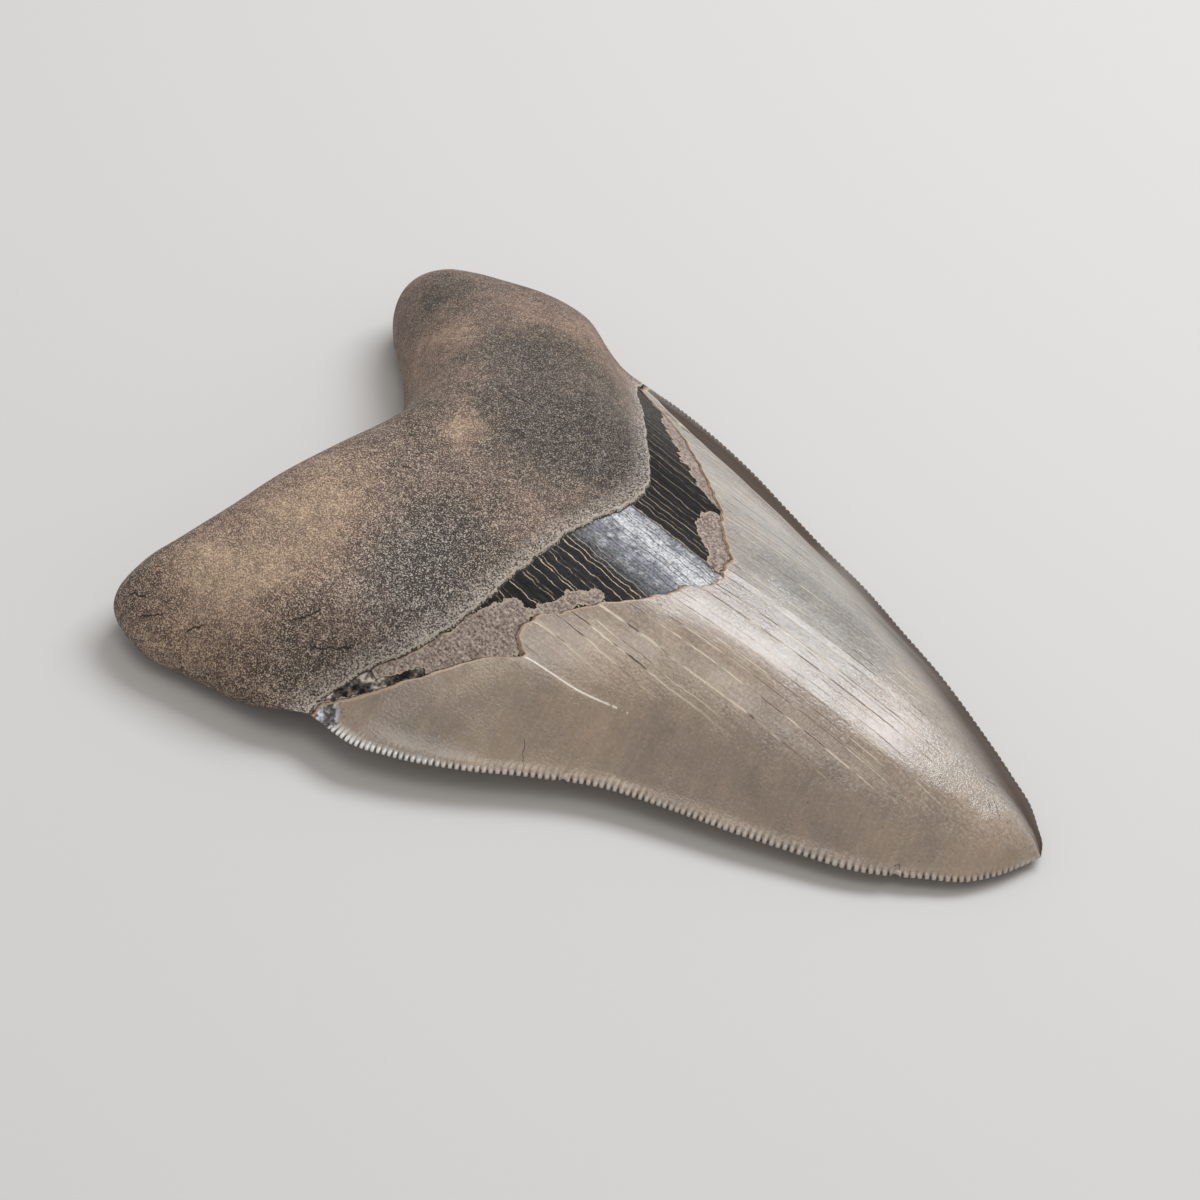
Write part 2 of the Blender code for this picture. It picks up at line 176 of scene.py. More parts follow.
# Short cracks seen from above: x, y, x, y, half width
ENAMEL_MARKS = (
    (94.4, 2.3, 96.0, 2.8, 0.14), (96.3, -0.8, 97.9, -1.9, 0.12), (96.8, 0.1, 99.2, -1.6, 0.12),
    (31.0, -37.0, 32.5, -39.5, 0.1), (89.6, -18.0, 90.2, -17.3, 0.12), (90.2, -17.3, 90.9, -17.9, 0.12),
)
ROOT_MARKS = (
    (-35.3, -52.6, -32.3, -52.9, 0.18), (-8.8, -47.5, -6.9, -45.7, 0.16), (-6.9, -45.7, -5.3, -43.6, 0.16),
    (-31.6, -54.9, -28.0, -54.1, 0.14), (-4.2, -47.3, 0.7, -43.5, 0.14), (-23.1, -54.2, -21.0, -53.0, 0.16),
    (-5.5, 12.8, -3.2, 13.2, 0.3), (-10.3, -13.6, -9.4, -13.1, 0.3),
)

# Cooler, darker clouds (below 0) and warmer, paler ones (above 0): x, y, radius, strength
CLOUDS = (
    (-7.6, 1.0, 4.5, 1.3), (-19.7, -42.5, 14, 1.1), (-17.1, -27.2, 10, 0.7), (-24, -47, 8, 0.7),
    (3.7, -34.4, 9, -1.0), (1.7, -23.5, 10, -0.7), (5, 16, 14, -1.35), (-10.4, 22, 9, -0.9),
    (-2, 4, 9, -0.4),
    (-33, 33, 7, -1.0), (-28, 22.6, 7, 0.5), (-18.8, 35.7, 8, 0.4), (11.7, 12.2, 9, -0.4),
    (-5.3, 40.6, 7, 0.4), (-6.1, -47.3, 7, -0.5), (-20, -5, 9, -0.3),
    (47, -26, 6, -0.8), (29, -31, 5, -0.6), (19.6, -44.4, 5, -0.8), (11.8, -49.6, 4, -0.5),
    (66, -22.5, 9, -1.2), (56, -24.3, 6, -0.6), (77, -18.8, 8, -1.1), (91, -10.4, 6, -0.7),
    (97.8, 5, 6, 1.0), (74, 0, 7, 0.2), (36, -19, 8, 0.8), (22, -37.5, 7, 0.5),
    (46.7, 13.5, 12, -0.7), (60, 14, 10, -0.3), (100, -6, 5, 0.6), (70, 17, 6, -0.3),
)
# Patches where the dark band is hidden under thin pale flakes: x, y, x, y, half width
FLAKES = (
    (12.6, -36.9, 20.5, -29.4, 3.0), (16.0, -31.2, 19.6, -26.0, 3.4), (21.0, -24.2, 23.0, -21.6, 1.2),
    (24.2, -20.0, 28.4, -14.8, 1.6), (34.5, 12.0, 39.6, 7.0, 3.2), (38.0, 6.5, 40.5, 3.0, 1.4),
    (31.0, 19.0, 22.5, 25.6, 1.7), (22.5, 25.6, 11.6, 39.0, 1.8), (11.6, 39.0, 5.0, 46.3, 1.3),
    (6.0, -42.6, 10.6, -39.0, 1.2),
)

# What a point is told where there is no flake, ledge or far flange near it
NO_FLAKE = -9.0
NO_LEDGE = 9.0
NO_FLANGE = -50.0

# ---- fineness of the mesh ------------------------------------------------------------------
PATH_SAMPLES = 12  # points that a curved outline gets between two given ones
EDGE_SAMPLES = 4000  # points that the cutting edges are measured with
COLUMNS = 160  # across the tooth
COLUMN_CROWDING = 0.4  # how much closer the columns stand near the cutting edges
CROWN_ROWS = 176  # along it, from the tip to the enamel's margin
EDGE_ROWS = 5  # rows of the cutting edge to one of the lingual crown, which has the finer mesh
BAND_ROWS = 28
ROOT_ROWS = 62
WAVE_DECAY = 40  # above 1, how soon behind the root's border its small waves are gone
LOBE_DECAY = 3  # above 1, how soon away from the root's sides its rows leave their outline
ENAMEL_SLOT, BAND_SLOT, ROOT_SLOT = 0, 1, 2
NEAR_SEAM, FAR_SEAM = 1, 2


def curve_through(stations):
    """A smooth function through the stations that never overshoots them."""
    at, value = np.array(sorted(stations), float).T
    step = np.diff(at)
    rise = np.diff(value) / step
    slope = np.concatenate([rise[:1], np.zeros(len(at) - 2), rise[-1:]])
    for i in range(1, len(at) - 1):
        if rise[i - 1] * rise[i] > 0:
            before = 2 * step[i] + step[i - 1]
            after = step[i] + 2 * step[i - 1]
            slope[i] = (before + after) / (before / rise[i - 1] + after / rise[i])

    def height(x):
        x = np.clip(x, at[0], at[-1])
        i = np.clip(np.searchsorted(at, x) - 1, 0, len(at) - 2)
        t = (x - at[i]) / step[i]
        start = value[i] * (1 + 2 * t) * (1 - t) ** 2 + slope[i] * step[i] * t * (1 - t) ** 2
        end = value[i + 1] * t * t * (3 - 2 * t) + slope[i + 1] * step[i] * t * t * (t - 1)
        return start + end

    return height


def ease(t):
    """0 below 0, 1 above 1, and a smooth rise between."""
    t = np.clip(t, 0, 1)
    return t * t * (3 - 2 * t)


near_half_width = curve_through(NEAR_HALF_WIDTH)
far_half_width = curve_through(FAR_HALF_WIDTH)
edge_height = curve_through(EDGE_HEIGHT)
groove_reach = curve_through(GROOVE_REACH)
ridge_height = curve_through(RIDGE_HEIGHT)
smooth_margin = curve_through(ENAMEL_MARGIN)
margin_break = curve_through(MARGIN_BREAKS)
smooth_border = curve_through(ROOT_BORDER)
smooth_labial_margin = curve_through(LABIAL_MARGIN)


def inside_shoulders(across):
    """1 inside the tooth and 0 at its shoulders, where all the lines across it meet."""
    return 1 - np.abs(across) ** SHOULDER_FADE


def wander(across, seed, reach, waves):
    """A small irregular wave along a line that crosses the tooth, flat at its ends."""
    random = np.random.default_rng(seed)
    total = np.zeros_like(across)
    for wave in waves:
        phase = random.uniform(0, 2 * np.pi)
        total += np.sin(across * wave + phase) / len(waves)
    return reach * total * inside_shoulders(across)


def enamel_margin(across):
    """The enamel's line on the lingual face, with the broken stretch on the near side."""
    waves = wander(across, seed=3, reach=0.9, waves=(17, 31, 53, 97, 140))
    return smooth_margin(across) + margin_break(across) + waves


def root_border(across):
    """The root's line on the lingual face."""
    return smooth_border(across) + wander(across, seed=8, reach=0.5, waves=(23, 47, 90, 160))


def labial_margin(across):
    """The enamel's line on the labial face."""
    waves = wander(across, seed=5, reach=0.9, waves=(19, 37, 71, 120))
    return smooth_labial_margin(across) + waves


def labial_border(across):
    """The root's line on the labial face."""
    return (labial_margin(across) - LABIAL_GROOVE) * inside_shoulders(across)


def smooth_labial_border(across):
    """The same line without its small waves."""
    return (smooth_labial_margin(across) - LABIAL_GROOVE) * inside_shoulders(across)


def centre_line(x):
    """How far the middle of the crown lies towards the far edge, in mm."""
    return TIP_OFFSET * ease((x - CROWN_LENGTH) / TIP_BEND + 1)


def half_width(x, across):
    """Distance from the centre line to the cutting edge on this side."""
    return np.where(across < 0, near_half_width(x), far_half_width(x))


def across_to_y(x, across):
    """The y of a share of the half width, from -1 at the near edge to 1 at the far one."""
    return centre_line(x) + across * half_width(x, across)


def crown_dome(x, across):
    """Height of the crown's domed lingual face."""
    edge = edge_height(x)
    shape = (1 - np.clip(np.abs(across), 0, 1) ** DOME_FULLNESS) ** FLANGE_HOLLOW
    return edge + (ridge_height(x) - edge) * shape


def crown_floor(x, across):
    """Height of the crown's flat labial face, which curls up to the cutting edges."""
    edge = edge_height(x)
    middle = edge * ease((x - CROWN_LENGTH) / LABIAL_TIP_RISE + 1) ** LABIAL_TIP_ONSET
    side = np.clip((np.abs(across) - LABIAL_FLAT) / (1 - LABIAL_FLAT), 0, 1) ** LABIAL_CURL
    return middle + (edge - middle) * side


def curve_path(points):
    """Points along a Catmull-Rom curve through all the given points."""
    p = np.array(points, float)
    p = np.vstack([2 * p[0] - p[1], p, 2 * p[-1] - p[-2]])
    t = np.linspace(0, 1, PATH_SAMPLES, endpoint=False)[:, None]
    path = []
    for a, b, c, d in zip(p, p[1:], p[2:], p[3:]):
        bend = (2 * a - 5 * b + 4 * c - d) * t**2 + (3 * b - a - 3 * c + d) * t**3
        path.append(0.5 * (2 * b + (c - a) * t + bend))
    return np.vstack(path + [p[-2:-1]])


def along_path(path, share):
    """Points that lie the given shares of its length along a path."""
    lengths = np.linalg.norm(np.diff(path, axis=0), axis=1)
    reach = np.concatenate([[0], np.cumsum(lengths)])
    return np.stack([np.interp(share * reach[-1], reach, path[:, k]) for k in (0, 1)], -1)


def distance_to(path, points):
    """Distance of each point to the nearest part of a path, in plan."""
    nearest = np.full(points.shape[:-1], np.inf)
    for start, end in zip(path[:-1], path[1:]):
        run = end - start
        t = np.clip((points - start) @ run / (run @ run), 0, 1)
        nearest = np.minimum(nearest, np.linalg.norm(points - start - t[..., None] * run, axis=-1))
    return nearest


def root_outline():
    """The root's outline and its three stretches: near side, basal edge, far side."""
    points = NEAR_SIDE + (NEAR_LOBE_TIP,) + BASAL_EDGE + (FAR_LOBE_TIP,) + FAR_SIDE
    path = curve_path(points)
    first = PATH_SAMPLES * len(NEAR_SIDE)
    last = first + PATH_SAMPLES * (1 + len(BASAL_EDGE))
    return path, path[: first + 1], path[first : last + 1], path[last:][::-1]


def fullness(edge, reach):
    """A quarter circle's rise from 0 at an edge to 1 at the given reach inside it."""
    return np.sqrt(1 - np.clip(1 - edge / reach, 0, 1) ** 2)


# ---- the sheets that the tooth is made from ------------------------------------------------
def column_places():
    """Even places of the columns from -1 to 1, and the shares of the half width they lie at."""
    even = np.linspace(-1, 1, COLUMNS + 1)
    return even, (1 - COLUMN_CROWDING) * even + COLUMN_CROWDING * np.sin(even * np.pi / 2)


def inset_share(x, side, inset):
    """The share of the half width that lies the given distance inside the cutting edge."""
    half = half_width(x, side)
    return 1 - np.minimum(inset, RIM_SHARE * half * inset / RIM_LINES[-1]) / np.maximum(half, TINY)


def edge_steps(side):
    """Distances x of the cutting edge's fine rows, evenly spaced along it from the tip."""
    x = np.linspace(CROWN_LENGTH, CUTTING_EDGE_END, EDGE_SAMPLES)
    y = across_to_y(x, np.full_like(x, side))
    reach = np.concatenate([[0], np.cumsum(np.hypot(np.diff(x), np.diff(y)))])
    return np.interp(np.linspace(0, reach[-1], CROWN_ROWS * EDGE_ROWS + 1), reach, x)


def crown_shares(across, rows_apart):
    """How far each crown row lies from the tip to the enamel's line, 0 to 1."""
    length = CROWN_LENGTH - CUTTING_EDGE_END
    near = (CROWN_LENGTH - edge_steps(-1)[::rows_apart]) / length
    far = (CROWN_LENGTH - edge_steps(1)[::rows_apart]) / length
    mix = (across + 1) / 2
    return near[:, None] * (1 - mix) + far[:, None] * mix


def chip_depth(x, side):
    """How deep the chips in a cutting edge are at x, in mm."""
    depth = np.zeros_like(x)
    for at, chip_side, size in CHIPS:
        if chip_side == side:
            depth = np.maximum(depth, size * (1 - np.clip(((x - at) / size) ** 2, 0, 1)))
    return depth


def serration_notches(side, x, reach, sizes):
    """Depth in mm of the notches at distances along a cutting edge, reach, where it is at x."""
    random = np.random.default_rng(NOTCH_SEED + side)
    at, pitch = np.array(PITCH_ALONG, float).T
    steps = np.linspace(0, reach.max(), EDGE_SAMPLES)
    count = np.cumsum(steps[1] / (sizes.serration_pitch / MM * np.interp(steps, at, pitch)))
    place = np.interp(reach, steps, count)
    number = np.clip(np.round(place), 0, MOST_SERRATIONS).astype(int)
    depth = sizes.serration_depth / MM * random.uniform(*NOTCH_DEPTHS, MOST_SERRATIONS + 1)[number]
    depth = depth * (1 if side < 0 else FAR_SERRATIONS)
    notch = depth * np.cos(np.pi * place) ** (2 * sizes.notch_sharpness)
    worn = TIP_NOTCH + (1 - TIP_NOTCH) * ease((CROWN_LENGTH - x) / EDGE_FADE)
    return notch * worn * ease((x - CUTTING_EDGE_END - NOTCH_START) / NOTCH_RISE)


def ledge_gap(x, y):
    """Signed distance in mm across the tooth from the line of the ledge in the enamel."""
    path = curve_path(LEDGE)
    return y - np.interp(x, path[:, 0], path[:, 1])


def ledge_height(x, y):
    """A low ledge in the enamel that runs from its margin towards the tip."""
    gap = ledge_gap(x, y)
    side = 1 - ease(gap / LEDGE_WIDTH + 0.5)
    fall = 1 - ease(-gap / LEDGE_FADE)
    ends = ease((x - LEDGE[0][0]) / LEDGE_RISE) * (1 - ease((x - LEDGE[4][0]) / LEDGE_FALL))
    return side * fall * ends


def lingual_height(x, y, share, margin_gap, across, sizes):
    """Height of the crown and the dark band on the lingual face, in mm."""
    sunk = ease(-margin_gap / MARGIN_STEP) * inside_shoulders(across)
    ledge = sizes.ledge_height / MM * ledge_height(x, y) * ease(margin_gap / LEDGE_INSET)
    return crown_dome(x, share) - sizes.band_depth / MM * sunk + ledge


def lingual_root_height(plan, share, across, behind, edge, sizes):
    """The root's thick dome, which stands proud of the dark band by a lip, in mm."""
    x, y = plan[..., 0], plan[..., 1]
    inside = smooth_border(across) - x
    dome = ridge_height(x) - LOBE_FALL * (y / LOBE_REACH) ** 2
    root = RIM_HEIGHT + (dome - RIM_HEIGHT) * fullness(edge, ROUNDING)
    step = ease(behind / BORDER_STEP)
    lip = sizes.root_lip / MM * step * (1 - ease(inside / LIP_FADE))
    lip = lip * ease(edge / LIP_ROUNDING)
    sunk = sizes.band_depth / MM * (1 - step) * inside_shoulders(across)
    past = ease(inside / ROOT_BLEND)
    return past * root + (1 - past) * crown_dome(x, share) + lip - sunk


def labial_height(x, y, share, margin_gap, across, sizes):
    """Height of the crown on the labial face, in mm."""
    return crown_floor(x, share)


def labial_root_height(plan, share, across, behind, edge, sizes):
    """The underside of the root: both lobes flat on the surface, a hollow between them."""
    x, y = plan[..., 0], plan[..., 1]
    length, width = HOLLOW_SIZE
    bowl = np.exp(-(((x - HOLLOW_AT) / length) ** 2) - (y / width) ** 2)
    hollow = np.clip(HOLLOW_DEPTH * bowl - HOLLOW_CUTOFF, 0, None)
    root = RIM_HEIGHT - (RIM_HEIGHT - hollow) * fullness(edge, LABIAL_ROUNDING)
    past = ease(behind / ROOT_BLEND)
    return past * root + (1 - past) * crown_floor(x, share)


# One face of the tooth: its lines and heights, which way it looks, and how many of the cutting
# edge's rows there are to one of its crown's
Face = namedtuple("Face", "name margin border smooth_border crown root up rows_apart")
LINGUAL = Face(
    "lingual", enamel_margin, root_border, smooth_border,
    lingual_height, lingual_root_height, 1, EDGE_ROWS,
)
LABIAL = Face(
    "labial", labial_margin, labial_border, smooth_labial_border,
    labial_height, labial_root_height, -1, 2 * EDGE_ROWS,
)


def cloud_tint(x, y):
    """Sum of the listed clouds, below 0 where the tooth is cooler and darker."""
    tint = np.zeros_like(x)
    for at_x, at_y, radius, strength in CLOUDS:
        tint += strength * np.exp(-((x - at_x) ** 2 + (y - at_y) ** 2) / radius**2)
    return tint


def flake_depth(x, y):
    """Distance in mm into the nearest listed flake, below 0 outside."""
    depth = np.full_like(x, NO_FLAKE)
    points = np.stack([x, y], -1)
    for from_x, from_y, to_x, to_y, half in FLAKES:
        line = np.array([(from_x, from_y), (to_x, to_y)])
        depth = np.maximum(depth, half - distance_to(line, points))
    return depth


def crack_number(y):
    """A count across the tooth that is whole on every long crack."""
    return np.interp(y, CRACKS, np.arange(len(CRACKS)))


def flange_gap(x, side, edge_gap):
    """Distance in mm outwards past the far flange's crease, far below 0 on the near side."""
    at, width = np.array(FLANGE, float).T
    return np.where(side > 0, np.interp(x, at, width) - edge_gap, NO_FLANGE)


def notes(face, points, across, margin_gap, border_gap, edge_gap, groove):
    """What the finishes need to know at every point, as arrays of one shape."""
    x, y = points[..., 0], points[..., 1]
    lingual = face is LINGUAL
    named = {
        "across": across,
        "margin_gap": margin_gap,
        "border_gap": border_gap,
        "edge_gap": edge_gap,
        "groove": groove,
        "cloud": cloud_tint(x, y) if lingual else 0,
        "flake": flake_depth(x, y) if lingual else NO_FLAKE,
        "ledge": ledge_gap(x, y) if lingual else NO_LEDGE,
        "crack": crack_number(y * face.up),
        "flange": flange_gap(x, across, edge_gap) if lingual else NO_FLANGE,
    }
    return {name: np.broadcast_to(value, x.shape) for name, value in named.items()}


def crown_sheet(face, sizes):
    """The crown inside the lines that follow the cutting edges, from the tip to the enamel's margin."""
    _, across = column_places()
    across = across[1:-1]
    front = face.margin(across)
    x = CROWN_LENGTH - (CROWN_LENGTH - front) * crown_shares(across, face.rows_apart)
    share = across * inset_share(x, across, RIM_LINES[-1])
    y = across_to_y(x, share)
    gap = x - front
    z = face.crown(x, y, share, gap, across, sizes)
    points = np.stack([x, y, z], -1)
    edge_gap = (1 - np.abs(share)) * half_width(x, across)
    return points, notes(face, points, across, gap, face.border(across) - x, edge_gap, 0)


def rim_bead(face, x, inward, sizes):
    """The rounded thickening along the cutting edge, which dies out at the shoulders."""
    bead = sizes.bead_height / MM * ease((x - CUTTING_EDGE_END) / EDGE_FADE)
    return face.up * bead * fullness(inward, BEAD_REACH) * (1 - ease(inward / RIM_LINES[-1]))


def edge_sheet(face, side, sizes):
    """The strip beside a cutting edge, with its serrations, chips and rounded rim."""
    rim_x = edge_steps(side)
    x = np.repeat(rim_x[:, None], len(RIM_LINES), axis=1)
    share = side * inset_share(x, side, np.array(RIM_LINES))
    inward = (1 - np.abs(share)) * half_width(x, side)
    y = across_to_y(x, share)
    gap = x - CUTTING_EDGE_END
    z = face.crown(x, y, share, gap, np.full_like(x, side), sizes)
    z = z + rim_bead(face, x, inward, sizes)
    run = np.gradient(np.stack([rim_x, y[:, 0]], -1), axis=0)
    step = np.linalg.norm(run, axis=1)
    run /= step[:, None]
    way = np.stack([-run[:, 1], run[:, 0]], -1) * side
    reach = np.cumsum(step)[:, None] + (y - y[:, :1]) * run[:, 1:]
    chip = chip_depth(x, side)
    notch = serration_notches(side, x, reach, sizes) * (1 - np.clip(chip / CHIP_WIPE, 0, 1))
    fade = np.clip(1 - inward / groove_reach(x), 0, 1)
    groove = np.clip(notch / (sizes.serration_depth / MM), 0, 1) * fade
    pull = notch * fade**2 + chip * (1 - inward / RIM_LINES[-1])
    drop = sizes.groove_depth / MM * groove * fullness(inward, GROOVE_ONSET)
    points = np.stack([x, y, z - face.up * drop], -1)
    points[..., :2] += pull[..., None] * way[:, None, :]
    points[:, 0, 2] = edge_height(rim_x)
    points[0] = (CROWN_LENGTH, TIP_OFFSET, edge_height(CROWN_LENGTH))
    return points, notes(face, points, side, gap, -x, inward, groove)


def back_sheet(face, sizes):
    """The dark band and the root: one sheet from the enamel's margin to the basal edge."""
    even, inner = column_places()
    insets = np.array(RIM_LINES)
    across = np.concatenate([np.full(len(insets), -1), inner[1:-1], np.full(len(insets), 1)])
    inset = np.concatenate([insets, np.full(len(inner) - 2, insets[-1]), insets[::-1]])

    down = (1 - np.cos(np.linspace(0, np.pi, BAND_ROWS + 1)[:, None])) / 2
    x = face.margin(across) * (1 - down) + face.border(across) * down
    share = across * inset_share(x, across, inset)
    y = across_to_y(x, share)
    band_gap = x - face.margin(across)
    z = face.crown(x, y, share, band_gap, across, sizes)
    band = np.stack([x, y, z], -1)
    edge_gap = (1 - np.abs(share)) * half_width(x, across)

    border_row = np.stack([face.smooth_border(across), y[-1]], -1)
    waves = (x[-1] - border_row[:, 0])[:, None] * (1, 0)
    outline, near, base, far = root_outline()
    lines = across * inset_share(0, across, inset)
    place = np.interp(lines, inner, even)
    foot = along_path(base, (2 + place + np.sin(place * np.pi / 2)) / 4)
    near_pull = ((1 - lines) / 2)[:, None] ** LOBE_DECAY
    far_pull = ((1 + lines) / 2)[:, None] ** LOBE_DECAY
    plan = []
    for s in (1 - np.cos(np.linspace(0, np.pi, ROOT_ROWS + 1)[1:])) / 2:
        row = (1 - s) * border_row + s * foot
        bulge = near_pull * (along_path(near, s) - row[0]) + far_pull * (along_path(far, s) - row[-1])
        plan.append(row + bulge + waves * (1 - s) ** WAVE_DECAY)
    plan = np.array(plan)
    behind = x[-1] - plan[..., 0]
    edge = distance_to(outline, plan)
    z = face.root(plan, lines, across, behind, edge, sizes)
    root = np.concatenate([plan, z[..., None]], -1)

    points = np.vstack([band, root])
    margin_gap = np.vstack([band_gap, plan[..., 0] - face.margin(across)])
    border_gap = np.vstack([x[-1] - x, behind])
    edge_gap = np.vstack([edge_gap, edge])
    return points, notes(face, points, across, margin_gap, border_gap, edge_gap, 0)


# ---- modelling ------------------------------------------------------------------------------
def to_frame(points):
    """Points in metres in the frame, from millimetres about the shoulder line."""
    low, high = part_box(NODE)
    outline, _, _, _ = root_outline()
    shift = (high.x / MM - CROWN_LENGTH, low.y / MM - outline[:, 1].min(), 0)
    return (points + shift) * MM


def select_only(*objects):
    """Selects these objects and nothing else, the first of them active."""
    bpy.ops.object.select_all(action="DESELECT")
    for obj in objects:
        obj.select_set(True)
    bpy.context.view_layer.objects.active = objects[0]


def add_sheet(name, points, facts, finishes, slots=ENAMEL_SLOT, seams=()):
    """A grid with its points moved to the given rows, what is known of each, and its seams."""
    rows, lines = points.shape[:2]
    bpy.ops.mesh.primitive_grid_add(
        x_subdivisions=lines - 1, y_subdivisions=rows - 1, size=1, calc_uvs=False
    )
    sheet = bpy.context.object
    sheet.name = name
    mesh = sheet.data
    if len(mesh.vertices) != rows * lines:
        raise RuntimeError(f"{name}: the grid has {len(mesh.vertices)} points")
    mesh.vertices.foreach_set("co", to_frame(points).astype(np.float32).ravel())
    for fact, values in facts.items():
        note = mesh.attributes.new(fact, "FLOAT", "POINT")
        note.data.foreach_set("value", values.astype(np.float32).ravel())
    seam = np.zeros((rows, lines), np.int32)
    for column, number in seams:
        seam[:, column] = number
    mesh.attributes.new("seam", "INT", "POINT").data.foreach_set("value", seam.ravel())
    for finish in finishes:
        mesh.materials.append(finish)
    slot_of_row = np.broadcast_to(slots, rows - 1).astype(np.int32)
    mesh.polygons.foreach_set("material_index", np.repeat(slot_of_row, lines - 1))
    return sheet


def bridge_seam(obj, number):
    """Bridges the two lines of points that carry the number of a seam."""
    mesh = obj.data
    seam = np.zeros(len(mesh.vertices), np.int32)
    mesh.attributes["seam"].data.foreach_get("value", seam)
    ends = np.zeros(len(mesh.edges) * 2, np.int32)
    mesh.edges.foreach_get("vertices", ends)
    chosen = (seam[ends.reshape(-1, 2)] == number).all(axis=1)
    mesh.polygons.foreach_set("select", np.zeros(len(mesh.polygons), bool))
    mesh.vertices.foreach_set("select", seam == number)
    mesh.edges.foreach_set("select", chosen)
    bpy.ops.object.mode_set(mode="EDIT")
    bpy.ops.mesh.select_mode(type="EDGE")
    bpy.ops.mesh.bridge_edge_loops(type="SINGLE", use_merge=False)
    bpy.ops.object.mode_set(mode="OBJECT")


def model_face(face, sizes, finishes):
    """One face of the tooth, its crown bridged to the finer strips beside the cutting edges."""
    seams = [(0, NEAR_SEAM), (-1, FAR_SEAM)]
    crown = add_sheet(face.name + "_crown", *crown_sheet(face, sizes), finishes, seams=seams)
    parts = [crown]
    for side, seam in ((-1, NEAR_SEAM), (1, FAR_SEAM)):
        sheet = edge_sheet(face, side, sizes)
        parts.append(add_sheet(face.name + "_edge", *sheet, finishes, seams=[(-1, seam)]))
    select_only(*parts)
    bpy.ops.object.join()
    bridge_seam(crown, NEAR_SEAM)
    bridge_seam(crown, FAR_SEAM)
    slots = [BAND_SLOT] * BAND_ROWS + [ROOT_SLOT] * ROOT_ROWS
    return [crown, add_sheet(face.name + "_back", *back_sheet(face, sizes), finishes, slots)]


def model_tooth(sizes, finishes):
    """Both faces joined along the rim into one closed mesh."""
    parts = model_face(LINGUAL, sizes, finishes) + model_face(LABIAL, sizes, finishes)
    select_only(*parts)
    bpy.ops.object.join()
    tooth = bpy.context.object
    tooth.name = tooth.data.name = "tooth"
    bpy.ops.object.mode_set(mode="EDIT")
    bpy.ops.mesh.select_mode(type="VERT")
    bpy.ops.mesh.select_all(action="SELECT")
    bpy.ops.mesh.remove_doubles(threshold=MERGE_DISTANCE)
    bpy.ops.mesh.normals_make_consistent(inside=False)
    bpy.ops.mesh.select_all(action="DESELECT")
    bpy.ops.mesh.select_non_manifold()
    bpy.ops.object.mode_set(mode="OBJECT")
    if any(vertex.select for vertex in tooth.data.vertices):
        raise RuntimeError("the tooth's mesh is not closed")
    bpy.ops.object.transform_apply(location=True, rotation=True, scale=True)
    bpy.ops.object.shade_smooth_by_angle(angle=sizes.smooth_angle)
    return tooth


# ---- finishes ------------------------------------------------------------------------------
LANE_GAP = 0.137  # m from the noise that breaks up one crack to the next crack's, so they differ


def linear(hex_colour):
    """An sRGB hex colour as linear red, green, blue and alpha."""
    channels = [int(hex_colour[i : i + 2], 16) / 255 for i in (0, 2, 4)]
    return [c / 12.92 if c <= 0.04045 else ((c + 0.055) / 1.055) ** 2.4 for c in channels] + [1]


